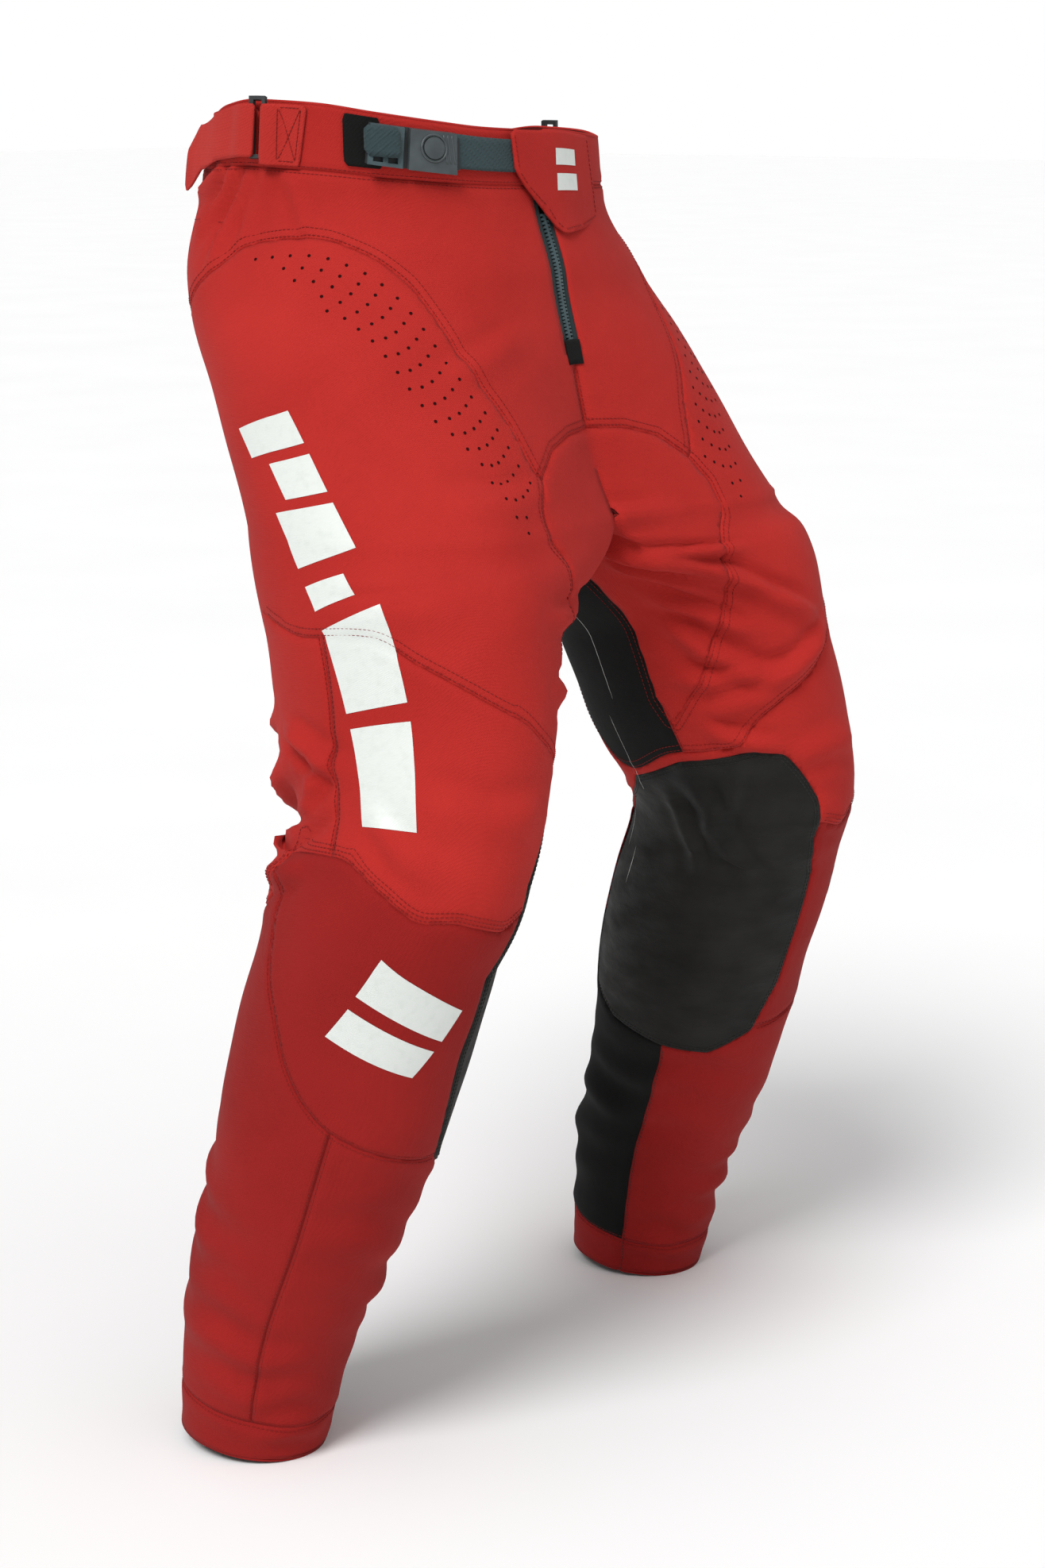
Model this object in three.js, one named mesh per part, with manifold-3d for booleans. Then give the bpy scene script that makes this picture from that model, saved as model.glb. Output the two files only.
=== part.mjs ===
// Off-road riding trousers in their riding stance, waist opening up, front towards -Y.
// Millimetres, +Z up, origin at the centre of the waist opening, +X the wearer's left.
import * as THREE from "three";
import Module from "manifold-3d";
import { mergeVertices } from "three/addons/utils/BufferGeometryUtils.js";

const wasm = await Module();
wasm.setup();

// ---------- driving sizes ----------
const riseLength = 285; // waist opening down to the crotch
const legLength = 690; // crotch down to the hem
const rimSlope = 0.1; // the back of the waist stands higher than the front
const fabric = 1.6; // thickness of a sewn panel
const seamGap = 0.8; // space between neighbouring panels
const clearance = 0.4; // space between pieces that touch or slide
const bandHeight = 38;
const angleStep = 22.5; // spacing of the panel mesh round a leg, in degrees
const rowStep = 38; // spacing of the panel mesh down a leg

const zip = { top: 42, length: 128, tapeWidth: 6.4, tapeThickness: 0.9, tapeAbove: 8, recess: 2 };
const teeth = { pitch: 6.4, across: 3.6, along: 2.2, high: 2.4, cord: 1.4 };
const slider = { width: 11, length: 13, above: 3, plate: 1.2, post: 4, postWidth: 3.2, postTop: 2 };
const pull = {
  width: 4.4, length: 13, thickness: 1.4, below: 2,
  pin: 0.9, eye: 0.9, lug: 1.2, lugWidth: 3.2,
};
const facing = { width: 32, thickness: 1.2, above: 12, below: 10 };
const endPatch = { width: 15, length: 13, thickness: 1.2, below: 3 };
const weld = 0.2; // how far joined solids run into each other

const webbing = { width: 22, thickness: 1.6 };
const belt = { webbingEnd: 8, tongueEnd: 112, tongueLength: 30 };
const buckle = { from: 87, to: 152, height: 28, base: 1.5, roof: 3.2, rail: 2.6 };
const beltFit = { from: 24, to: -74 }; // degrees left of the fly
const cover = { from: 86, to: 122 };
const button = { radius: 8, travel: 1.6, proud: 0.9, spring: 5 };
const ladder = { from: 126, to: 151, height: 3.6, bar: 3.6 };
const anchorTab = { from: 148, to: 171, height: 34, thickness: 1 };

const flap = { thickness: 2, hinge: 36, welt: 6 }; // hinge in degrees left of the fly
const adjuster = {
  tabFrom: 66, tabTo: 83, tabHeight: 34, tabThickness: 1.6,
  ringAt: 88, ringHeight: 42, ringLength: 11, ringWire: 2.6,
  strapTo: 138, strapHeight: 30, strapThickness: 1.6,
  tailTo: 134, tailPoint: 9,
};

// ---------- the body form ----------
// Levels run 0 at the waist opening, 1 at the crotch and 2 at the hem.
const trunkForm = [
  { level: 0, halfWidth: 164, halfDepth: 120, centreY: 0 },
  { level: 0.175, halfWidth: 165, halfDepth: 134, centreY: 4 },
  { level: 0.386, halfWidth: 190, halfDepth: 146, centreY: -4 },
  { level: 0.632, halfWidth: 214, halfDepth: 140, centreY: -34 },
  { level: 1, halfWidth: 214, halfDepth: 148, centreY: -70 },
];
const legForm = [
  { level: 0.386, centreX: 108, centreY: -38, halfWidth: 108, halfDepth: 125 },
  { level: 1, centreX: 150, centreY: -118, halfWidth: 104, halfDepth: 112 },
  { level: 1.1, centreX: 163, centreY: -142, halfWidth: 98, halfDepth: 114 },
  { level: 1.2, centreX: 177, centreY: -156, halfWidth: 88, halfDepth: 112 },
  { level: 1.34, centreX: 210, centreY: -170, halfWidth: 79, halfDepth: 102 },
  { level: 1.41, centreX: 221, centreY: -160, halfWidth: 78, halfDepth: 91 },
  { level: 1.56, centreX: 224, centreY: -127, halfWidth: 80, halfDepth: 89 },
  { level: 1.7, centreX: 234, centreY: -100, halfWidth: 74, halfDepth: 80 },
  { level: 1.85, centreX: 241, centreY: -64, halfWidth: 64, halfDepth: 69 },
  { level: 2, centreX: 244, centreY: -44, halfWidth: 53, halfDepth: 58 },
];
const trunkExponent = 2 / 2.3; // the trunk is a superellipse
const lobeShare = 0.85; // how far the two thighs part the trunk at the crotch
const lobeStart = 0.21; // level where the thighs begin to show
const legRounding = 0.13; // levels below the crotch over which a leg becomes round
const kneePinch = { level: 1.305, height: 0.032, angle: 145, spread: 52, depth: 0.2 };
// How far the waist opening rises above its sloped plane.
const rimRise = [
  { angle: -45, lift: 9 }, { angle: -20, lift: 11 }, { angle: 0, lift: 14 },
  { angle: 30, lift: 18 }, { angle: 60, lift: 21 }, { angle: 90, lift: 19 },
  { angle: 115, lift: 11 }, { angle: 140, lift: 1 }, { angle: 225, lift: 0 },
];
const rimRiseEnd = 0.267; // level where that rise has died out
const rimLean = 22; // how much lower the waist opening hangs on the left
const rimFade = 0.526; // level where the slope of the waist opening has died out
const centreFront = -45; // band angle of the centre front, 90 is the outer side
const centreBack = 225;

const downOf = (level) =>
  level <= 1 ? level * riseLength : riseLength + (level - 1) * legLength;
const smooth = (t) => {
  const s = THREE.MathUtils.clamp(t, 0, 1);
  return s * s * (3 - 2 * s);
};
const radians = THREE.MathUtils.degToRad;

// A curve through the rows of a table, with level flats kept flat between the rows.
function tableCurve(rows, key, value) {
  const x = rows.map((row) => row[key]);
  const y = rows.map((row) => row[value]);
  const step = x.slice(1).map((end, i) => end - x[i]);
  const rise = step.map((width, i) => (y[i + 1] - y[i]) / width);
  const slope = x.map((_, i) => {
    if (i === 0) return rise[0];
    if (i === x.length - 1) return rise[rise.length - 1];
    if (rise[i - 1] * rise[i] <= 0) return 0;
    const before = 2 * step[i] + step[i - 1];
    const after = step[i] + 2 * step[i - 1];
    return (before + after) / (before / rise[i - 1] + after / rise[i]);
  });
  return (at) => {
    let i = 0;
    while (i < x.length - 2 && at > x[i + 1]) i += 1;
    const t = THREE.MathUtils.clamp((at - x[i]) / step[i], 0, 1);
    const t2 = t * t;
    const t3 = t2 * t;
    return (
      (2 * t3 - 3 * t2 + 1) * y[i] +
      (t3 - 2 * t2 + t) * step[i] * slope[i] +
      (3 * t2 - 2 * t3) * y[i + 1] +
      (t3 - t2) * step[i] * slope[i + 1]
    );
  };
}

const trunkHalfWidth = tableCurve(trunkForm, "level", "halfWidth");
const trunkHalfDepth = tableCurve(trunkForm, "level", "halfDepth");
const trunkCentreY = tableCurve(trunkForm, "level", "centreY");
const legCentreX = tableCurve(legForm, "level", "centreX");
const legCentreY = tableCurve(legForm, "level", "centreY");
const legHalfWidth = tableCurve(legForm, "level", "halfWidth");
const legHalfDepth = tableCurve(legForm, "level", "halfDepth");
const rimLift = tableCurve(rimRise, "angle", "lift");

// A point on the trunk, where angle runs from the centre front round the side to the back.
function trunkPoint(level, angle) {
  const share = (angle - centreFront) / (centreBack - centreFront);
  const turn = radians(-90 + 180 * THREE.MathUtils.clamp(share, 0, 1));
  const bent = (value) => Math.sign(value) * Math.abs(value) ** trunkExponent;
  const x = trunkHalfWidth(level) * bent(Math.max(Math.cos(turn), 0));
  const y = trunkCentreY(level) + trunkHalfDepth(level) * bent(Math.sin(turn));
  const lobeLevel = Math.max(level, legForm[0].level);
  const inward = Math.SQRT1_2 * legHalfWidth(lobeLevel);
  const side = Math.sin(radians(angle));
  const pull = THREE.MathUtils.clamp(-side / Math.SQRT1_2, 0, 1) ** 1.5;
  const lobeX =
    legCentreX(lobeLevel) +
    legHalfWidth(lobeLevel) * side -
    pull * (legCentreX(lobeLevel) - inward);
  const lobeY =
    legCentreY(lobeLevel) - legHalfDepth(lobeLevel) * Math.cos(radians(angle));
  const share2 = lobeShare * smooth((level - lobeStart) / (1 - lobeStart));
  const mixedY = y * (1 - share2) + lobeY * share2;
  const tip = rimSlope * mixedY * THREE.MathUtils.clamp(1 - level / rimFade, 0, 1);
  const rise = rimLift(angle) * (1 - smooth(level / rimRiseEnd));
  return new THREE.Vector3(
    x * (1 - share2) + lobeX * share2,
    mixedY,
    tip + rise - downOf(level),
  );
}

// A point on a leg, where the inner side at 270 degrees closes the ring.
function legPoint(level, angle) {
  const small = 1e-3;
  const fall = (downOf(level + small) - downOf(level - small)) / (2 * small);
  const slopeX = (legCentreX(level + small) - legCentreX(level - small)) / (2 * small);
  const slopeY = (legCentreY(level + small) - legCentreY(level - small)) / (2 * small);
  const round = smooth((level - 1) / legRounding);
  const along = new THREE.Vector3(slopeX / fall, slopeY / fall, -1)
    .multiplyScalar(round)
    .add(new THREE.Vector3(0, 0, round - 1))
    .normalize();
  const across = new THREE.Vector3(1, 0, 0).addScaledVector(along, -along.x).normalize();
  const forward = new THREE.Vector3().crossVectors(along, across);
  const aside = (near(angle, kneePinch.angle) - kneePinch.angle) / kneePinch.spread;
  const apart = (level - kneePinch.level) / kneePinch.height;
  const girth = 1 - kneePinch.depth * Math.exp(-aside * aside - apart * apart);
  const outward = Math.sin(radians(angle)) * legHalfWidth(level) * girth;
  const ahead = Math.cos(radians(angle)) * legHalfDepth(level) * girth;
  const wrapped = angle > 270 ? angle - 360 : angle;
  let edge;
  if (wrapped >= centreFront && wrapped <= centreBack) {
    edge = trunkPoint(1, wrapped);
  } else {
    const front = trunkPoint(1, centreFront);
    const back = trunkPoint(1, centreBack);
    const share = ((wrapped < 0 ? wrapped + 360 : wrapped) - centreBack) / 90;
    edge = back.lerp(front, share);
  }
  const edgeAcross = edge.x - legCentreX(1);
  const edgeAhead = legCentreY(1) - edge.y;
  return new THREE.Vector3(legCentreX(level), legCentreY(level), -downOf(level))
    .addScaledVector(across, outward * round + edgeAcross * (1 - round))
    .addScaledVector(forward, ahead * round + edgeAhead * (1 - round));
}

const sideSign = { right: -1, left: 1 };

// ---------- seams ----------
// Each seam is a line of [angle, level] points on one side of the trousers.
const zipEnd = (zip.top + zip.length) / riseLength;
const hipArc = [
  [-60, 1.02], [-16, 0.87], [-8, 0.74], [3, 0.6], [12, 0.46], [22, 0.365], [40, 0.295],
  [60, 0.267], [86, 0.285], [106, 0.36], [134, 0.45], [150, 0.49], [190, 0.52], [225, 0.53],
];
const aboveKneeSeam = [
  [-236, 1.077], [-210, 1.06], [-180, 1.065], [-166, 1.09], [-156, 1.205], [-146, 1.24],
  [-117, 1.278], [-86, 1.256], [-60, 1.262], [-40, 1.24], [-4, 1.219], [6, 1.207],
  [24, 1.19], [51, 1.154], [69, 1.125], [99, 1.113], [124, 1.077],
];
const belowKneeSeam = [
  [-234, 1.377], [-210, 1.42], [-180, 1.428], [-150, 1.42], [-20, 1.352], [3, 1.361],
  [26, 1.361], [46, 1.367], [69, 1.355], [87, 1.338], [118, 1.341], [126, 1.377],
];
const kneePanelHem = [
  [-60, 1.616], [-14, 1.616], [16, 1.61], [56, 1.591], [84, 1.539], [99, 1.497],
  [116, 1.443], [121, 1.4], [125, 1.372],
];
const gussetOutline = [
  [-45, 0.776], [-34, 0.782], [-24, 0.81], [-17, 0.87], [-14, 0.94], [-15, 1.01],
  [-26, 1.065], [-44, 1.126],
  [-62, 1.19], [-80, 1.225], [-83, 1.2], [-82, 1.025], [-118, 1.03], [-148, 1.045],
  [-158, 1.02], [-152, 0.92], [-135, 0.86],
];
const gripOutline = [
  [-117, 1.29], [-86, 1.267], [-50, 1.272], [-36, 1.286], [-20, 1.338], [-10, 1.413],
  [-8, 1.485], [-10, 1.557], [-19, 1.62], [-45, 1.65], [-74, 1.654], [-110, 1.651],
  [-135, 1.634], [-144, 1.587], [-145, 1.515], [-140, 1.428], [-130, 1.34],
];
const innerThighOutline = [
  [-82, 1.0], [-82, 1.4], [-162, 1.4], [-162, 1.09], [-166, 1.05], [-160, 1.0],
];
const innerCalfOutline = [
  [-162, 1.6], [-150, 1.56], [-100, 1.56], [-72, 1.6], [-72, 2.1], [-162, 2.1],
];
// Angles where upright seams stand, and the panels between them.
const sideBackSeam = 150;
const kneeSideSeam = 90;
const shinSeam = 55;
const innerPanelFront = -82;
const innerPanelBack = 198;
const cuffLevel = 1.952;
const millimetresPerDegree = 1.7; // near enough for distances to a seam

// Turns an angle so that it lies within half a turn of another.
const near = (angle, centre) => {
  const turned = (((angle - centre + 180) % 360) + 360) % 360;
  return turned - 180 + centre;
};

// Fields give a distance in millimetres, positive past the seam.
function belowLine(points) {
  const first = points[0][0];
  const last = points[points.length - 1][0];
  const rows = points.map(([angle, level]) => ({ angle, level }));
  const curve = tableCurve(rows, "angle", "level");
  return (vertex) => {
    const angle = near(vertex.angle, (first + last) / 2);
    return downOf(vertex.level) - downOf(curve(THREE.MathUtils.clamp(angle, first, last)));
  };
}

const between = (first, last) => (vertex) => {
  const centre = (first + last) / 2;
  const away = Math.abs(near(vertex.angle, centre) - centre);
  return ((last - first) / 2 - away) * millimetresPerDegree;
};

const belowLevel = (level) => (vertex) => downOf(vertex.level) - downOf(level);

function insideOutline(points) {
  const centre = points.reduce((sum, [angle]) => sum + angle, 0) / points.length;
  const corner = points.map(([angle, level]) => ({
    x: angle * millimetresPerDegree,
    y: downOf(level),
  }));
  return (vertex) => {
    const x = near(vertex.angle, centre) * millimetresPerDegree;
    const y = downOf(vertex.level);
    let nearest = Infinity;
    let inside = false;
    corner.forEach((a, i) => {
      const b = corner[(i + 1) % corner.length];
      const run = (b.x - a.x) ** 2 + (b.y - a.y) ** 2;
      const share = ((x - a.x) * (b.x - a.x) + (y - a.y) * (b.y - a.y)) / run;
      const t = THREE.MathUtils.clamp(share, 0, 1);
      const away = Math.hypot(x - a.x - t * (b.x - a.x), y - a.y - t * (b.y - a.y));
      nearest = Math.min(nearest, away);
      const crosses = a.y > y !== b.y > y;
      if (crosses && x < a.x + ((y - a.y) / (b.y - a.y)) * (b.x - a.x)) inside = !inside;
    });
    return inside ? nearest : -nearest;
  };
}

const fromCentre = (half) => (vertex) => Math.abs(vertex.position.x) - half;
const farAway = 1e3;
const teethHalf = teeth.across / 2 + teeth.cord;
const flyHalf = teethHalf + clearance + zip.tapeWidth + clearance;
const besideFly = (vertex) => {
  if (vertex.position.y > 0) return farAway;
  const closing = smooth((downOf(vertex.level) - downOf(zipEnd) - 4) / 8);
  return Math.abs(vertex.position.x) - flyHalf * (1 - closing);
};

const seam = {
  arc: belowLine(hipArc),
  aboveKnee: belowLine(aboveKneeSeam),
  belowKnee: belowLine(belowKneeSeam),
  kneeHem: belowLine(kneePanelHem),
  band: belowLevel(bandHeight / riseLength),
  crotch: belowLevel(1),
  cuff: belowLevel(cuffLevel),
  gusset: insideOutline(gussetOutline),
  grip: insideOutline(gripOutline),
  innerCalf: insideOutline(innerCalfOutline),
  innerThigh: insideOutline(innerThighOutline),
  centre: fromCentre(0),
  fly: besideFly,
};
const past = (field) => ({ field, way: 1 });
const before = (field) => ({ field, way: -1 });
const within = (first, last) => past(between(first, last));

// ---------- panel meshes ----------
const formPoint = (side, onLeg, level, angle) => {
  const point = onLeg ? legPoint(level, angle) : trunkPoint(level, angle);
  if (side === "left" && !onLeg) {
    const share = (angle - centreFront) / (centreBack - centreFront);
    point.z -= rimLean * smooth(Math.sin(Math.PI * share)) * (1 - smooth(level / rimRiseEnd));
  }
  point.x *= sideSign[side];
  return point;
};

// The outward direction of the surface. On the centre plane it lies in that plane.
function formNormal(side, onLeg, level, angle) {
  const small = 0.01;
  const turn = 0.5;
  const [top, bottom] = onLeg ? [1, 2] : [0, 1];
  const low = Math.max(level - small, top);
  const high = Math.min(level + small, bottom);
  const first = onLeg ? angle - turn : Math.max(angle - turn, centreFront);
  const last = onLeg ? angle + turn : Math.min(angle + turn, centreBack);
  const point = (l, a) => formPoint(side, onLeg, l, a);
  const down = point(high, angle).sub(point(low, angle));
  const round = point(level, last).sub(point(level, first));
  const normal = new THREE.Vector3().crossVectors(down, round);
  normal.multiplyScalar(sideSign[side]).normalize();
  if (Math.abs(point(level, angle).x) < 1e-6) normal.x = 0;
  return normal.normalize();
}

function makeVertex(side, onLeg, level, angle) {
  return {
    level,
    angle,
    values: new Map(),
    position: formPoint(side, onLeg, level, angle),
    normal: formNormal(side, onLeg, level, angle),
  };
}

function gridTriangles(side, onLeg, levels, angles) {
  const grid = levels.map((level) =>
    angles.map((angle) => makeVertex(side, onLeg, level, angle)),
  );
  const triangles = [];
  for (let i = 0; i + 1 < levels.length; i += 1) {
    for (let j = 0; j + 1 < angles.length; j += 1) {
      const [a, b, c, d] = [grid[i][j], grid[i][j + 1], grid[i + 1][j + 1], grid[i + 1][j]];
      triangles.push([a, b, c], [a, c, d]);
    }
  }
  return side === "left" ? triangles.map(([a, b, c]) => [a, c, b]) : triangles;
}

const spread = (first, last, count) =>
  Array.from({ length: count + 1 }, (_, i) => first + ((last - first) * i) / count);

const trunkRows = Math.round(riseLength / rowStep);
const legRows = Math.round(legLength / rowStep);
const halfBody = {};
for (const side of Object.keys(sideSign)) {
  const trunkAngles = spread(centreFront, centreBack, (centreBack - centreFront) / angleStep);
  const legAngles = spread(-135, 225, 360 / angleStep);
  halfBody[side] = [
    ...gridTriangles(side, false, spread(0, 1, trunkRows), trunkAngles),
    ...gridTriangles(side, true, spread(1, 2, legRows), legAngles),
  ];
}

// A cut vertex takes each field from the edge that it lies on, so that
// neighbouring panels are cut along the same line whatever order they are cut in.
function readField(vertex, field) {
  if (!vertex.values.has(field)) {
    const value = vertex.edge
      ? THREE.MathUtils.lerp(
          readField(vertex.edge[0], field),
          readField(vertex.edge[1], field),
          vertex.share,
        )
      : field(vertex);
    vertex.values.set(field, value);
  }
  return vertex.values.get(field);
}

// Keeps the part of each triangle that lies past or before a seam.
function clip(triangles, { field, way }) {
  const snap = 0.1;
  const read = (vertex) => {
    const value = way * readField(vertex, field) - seamGap / 2;
    return Math.abs(value) < snap ? 0 : value;
  };
  const crossing = (p, q) => {
    const [a, b] = read(p) < read(q) ? [p, q] : [q, p];
    const share = read(a) / (read(a) - read(b));
    return {
      edge: [a, b],
      share,
      values: new Map(),
      position: a.position.clone().lerp(b.position, share),
      normal: a.normal.clone().lerp(b.normal, share).normalize(),
    };
  };
  const kept = [];
  for (const triangle of triangles) {
    const ring = [];
    triangle.forEach((p, i) => {
      const q = triangle[(i + 1) % 3];
      if (read(p) >= 0) ring.push(p);
      if (read(p) * read(q) < 0) ring.push(crossing(p, q));
    });
    const solid = triangle.some((vertex) => read(vertex) > 0);
    for (let i = 1; solid && i + 1 < ring.length; i += 1) {
      kept.push([ring[0], ring[i], ring[i + 1]]);
    }
  }
  return kept;
}

// Gives a sheet of triangles its thickness, from the surface inwards.
function thicken(triangles, outer, inner) {
  const index = new Map();
  const vertices = [];
  const find = (vertex) => {
    const key = vertex.position
      .toArray()
      .map((v) => Math.round(v * 500))
      .join();
    if (!index.has(key)) {
      index.set(key, vertices.length);
      vertices.push({ position: vertex.position, normal: new THREE.Vector3() });
    }
    const found = index.get(key);
    vertices[found].normal.add(vertex.normal);
    return found;
  };
  const faces = triangles
    .map((triangle) => triangle.map(find))
    .filter(([a, b, c]) => a !== b && b !== c && c !== a);
  const count = vertices.length;
  const points = [outer, inner].flatMap((offset) =>
    vertices.flatMap(({ position, normal }) =>
      position.clone().addScaledVector(normal.clone().normalize(), offset).toArray(),
    ),
  );
  const edges = new Set(faces.flatMap(([a, b, c]) => [`${a},${b}`, `${b},${c}`, `${c},${a}`]));
  const solid = faces.flatMap(([a, b, c]) => [a, b, c, c + count, b + count, a + count]);
  for (const edge of edges) {
    const [a, b] = edge.split(",").map(Number);
    if (edges.has(`${b},${a}`)) continue;
    solid.push(a, a + count, b, b, a + count, b + count);
  }
  const geometry = new THREE.BufferGeometry();
  geometry.setAttribute("position", new THREE.Float32BufferAttribute(points, 3));
  geometry.setIndex(solid);
  return geometry;
}

function panelGeometry(sides, fields) {
  const sheet = sides.flatMap((side) =>
    fields.reduce((triangles, field) => clip(triangles, field), halfBody[side]),
  );
  return thicken(sheet, 0, -fabric);
}

// ---------- solid helpers ----------
function toSolid(geometry, matrix = new THREE.Matrix4()) {
  const plain = (geometry.index ? geometry.toNonIndexed() : geometry.clone()).applyMatrix4(matrix);
  plain.deleteAttribute("normal");
  plain.deleteAttribute("uv");
  const merged = mergeVertices(plain, 1e-4);
  return new wasm.Manifold(
    new wasm.Mesh({
      numProp: 3,
      vertProperties: merged.attributes.position.array,
      triVerts: new Uint32Array(merged.index.array),
    }),
  );
}

function toGeometry(solid) {
  const mesh = solid.getMesh();
  const geometry = new THREE.BufferGeometry();
  geometry.setAttribute("position", new THREE.BufferAttribute(mesh.vertProperties, 3));
  geometry.setIndex(new THREE.BufferAttribute(mesh.triVerts, 1));
  return geometry;
}

const joined = (list) => toGeometry(list.map((g) => toSolid(g)).reduce((a, b) => a.add(b)));
const less = (base, cuts) =>
  toGeometry(cuts.map((g) => toSolid(g)).reduce((a, b) => a.subtract(b), toSolid(base)));

// A box given by its low and high corners.
function block([x0, y0, z0], [x1, y1, z1]) {
  const centre = [(x0 + x1) / 2, (y0 + y1) / 2, (z0 + z1) / 2];
  return new THREE.BoxGeometry(x1 - x0, y1 - y0, z1 - z0).translate(...centre);
}

// ---------- finishes ----------
const finish = (color, roughness, metalness = 0) => ({ color, roughness, metalness });
const red = finish(0xb8322c, 0.85);
const darkRed = finish(0xa32b27, 0.85);
const black = finish(0x1f1f1e, 0.9);
const grip = finish(0x262622, 0.75);
const teal = finish(0x3c4b4e, 0.6);
const plastic = finish(0x4a5657, 0.4);
const steel = finish(0x9a9c9e, 0.35, 0.9);

const trousers = new THREE.Group();

function addPart(name, geometry, look, parent = trousers) {
  const mesh = new THREE.Mesh(geometry, new THREE.MeshStandardMaterial(look));
  mesh.name = name;
  parent.add(mesh);
  return mesh;
}

// ---------- sewn panels ----------
for (const side of Object.keys(sideSign)) {
  const panel = (name, look, fields) =>
    addPart(`${name}_${side}`, panelGeometry([side], fields), look);
  const notGusset = before(seam.gusset);
  const notGrip = before(seam.grip);
  panel("waistband", red, [before(seam.band), past(seam.fly), past(seam.centre)]);
  panel("front_panel", red, [
    past(seam.band), before(seam.crotch), before(seam.arc), within(-60, sideBackSeam),
    notGusset, past(seam.centre), past(seam.fly),
  ]);
  panel("rear_yoke", darkRed, [
    past(seam.band), before(seam.crotch), before(seam.arc), within(sideBackSeam, 300),
    past(seam.centre),
  ]);
  panel("thigh_panel", red, [
    past(seam.arc), before(seam.aboveKnee), within(innerPanelFront, sideBackSeam), notGusset,
    past(seam.centre),
  ]);
  panel("seat_panel", red, [
    past(seam.arc), before(seam.aboveKnee), within(sideBackSeam, innerPanelBack + 30), notGusset,
    before(seam.innerThigh), past(seam.centre),
  ]);
  panel("inner_thigh_panel", black, [
    past(seam.innerThigh), before(seam.aboveKnee), notGusset,
  ]);
  panel("above_knee_panel", red, [
    past(seam.aboveKnee), before(seam.belowKnee), within(-117, kneeSideSeam), notGrip,
  ]);
  panel("back_knee_panel", red, [
    past(seam.aboveKnee), before(seam.belowKnee), within(kneeSideSeam, 243), notGrip,
  ]);
  panel("knee_panel", red, [
    past(seam.belowKnee), before(seam.kneeHem), within(-40, 130), notGrip,
  ]);
  panel("knee_grip_patch", grip, [past(seam.grip)]);
  panel("shin_panel", red, [
    past(seam.kneeHem), before(seam.cuff), within(-72, shinSeam), notGrip,
  ]);
  panel("calf_panel", red, [
    past(seam.belowKnee), past(seam.kneeHem), before(seam.cuff), within(shinSeam, 225),
    notGrip, before(seam.innerCalf),
  ]);
  panel("inner_calf_panel", black, [past(seam.innerCalf), before(seam.cuff), notGrip]);
  panel("ankle_cuff", darkRed, [past(seam.cuff)]);
}
addPart("crotch_gusset", panelGeometry(["right", "left"], [past(seam.gusset)]), red);

// ---------- fly zip ----------
const frontAt = (down) => trunkPoint(down / riseLength, centreFront);
const zipTopPoint = frontAt(zip.top);
const zipEndPoint = frontAt(zip.top + zip.length);
const zipUp = zipTopPoint.clone().sub(zipEndPoint).normalize();
const zipAcross = new THREE.Vector3(1, 0, 0);
const zipOut = new THREE.Vector3().crossVectors(zipAcross, zipUp);
const fly = new THREE.Group(); // local +Y up the zip, +Z out of the body
fly.setRotationFromMatrix(new THREE.Matrix4().makeBasis(zipAcross, zipUp, zipOut));
fly.position.copy(zipTopPoint).addScaledVector(zipOut, -zip.recess);
trousers.add(fly);

const toothCount = Math.floor(zip.length / teeth.pitch) - 1;
for (const [side, sign] of Object.entries(sideSign)) {
  const tapeInner = teethHalf + clearance;
  const edges = [tapeInner * sign, (tapeInner + zip.tapeWidth) * sign].sort((a, b) => a - b);
  const half = zip.tapeThickness / 2;
  const tape = block([edges[0], -zip.length, -half], [edges[1], zip.tapeAbove, half]);
  addPart(`zip_tape_${side}`, tape, black, fly);
  const cord = [(teethHalf - teeth.cord) * sign, teethHalf * sign].sort((a, b) => a - b);
  const high = teeth.high / 2;
  const row = [block([cord[0], -zip.length, -high], [cord[1], -slider.post, high])];
  for (let i = 0; i < toothCount; i += 1) {
    const y = -slider.post - teeth.pitch * (i + (side === "left" ? 0.75 : 0.25));
    const tip = (teethHalf - teeth.cord - clearance) * -sign;
    const root = cord[0] + teeth.cord / 2;
    const x = [Math.min(tip, root), Math.max(tip, root)];
    row.push(block([x[0], y - teeth.along, -high], [x[1], y, high]));
  }
  addPart(`zip_teeth_${side}`, joined(row), black, fly);
}

const plateIn = teeth.high / 2 + clearance;
const plateOut = plateIn + slider.plate;
const sliderHalf = slider.width / 2;
const sliderLow = slider.above - slider.length;
const postHalf = slider.postWidth / 2;
const postLow = -slider.post + clearance;
const eyeRadius = pull.pin + clearance + pull.eye;
const pinHeight = plateOut + eyeRadius + clearance;
const pinY = -pull.below;
const lugHalf = pull.lugWidth / 2;
const lugs = [-1, 1].map((sign) => {
  const inner = sign * (pull.width / 2 + clearance);
  const x = [inner, inner + sign * pull.lug].sort((a, b) => a - b);
  const low = [x[0], pinY - lugHalf, plateIn + weld];
  return block(low, [x[1], pinY + lugHalf, pinHeight + pull.pin + 2 * weld]);
});
const pin = new THREE.CylinderGeometry(pull.pin, pull.pin, pull.width + 2 * pull.lug, 12)
  .rotateZ(Math.PI / 2)
  .translate(0, pinY, pinHeight);
addPart(
  "zip_slider",
  joined([
    block([-sliderHalf, sliderLow, plateIn], [sliderHalf, slider.above, plateOut]),
    block([-sliderHalf, sliderLow, -plateOut], [sliderHalf, slider.above, -plateIn]),
    block([-postHalf, postLow, weld - plateOut], [postHalf, slider.postTop, plateOut - weld]),
    ...lugs,
    pin,
  ]),
  steel,
  fly,
);
const boreRadius = pull.pin + clearance;
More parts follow.
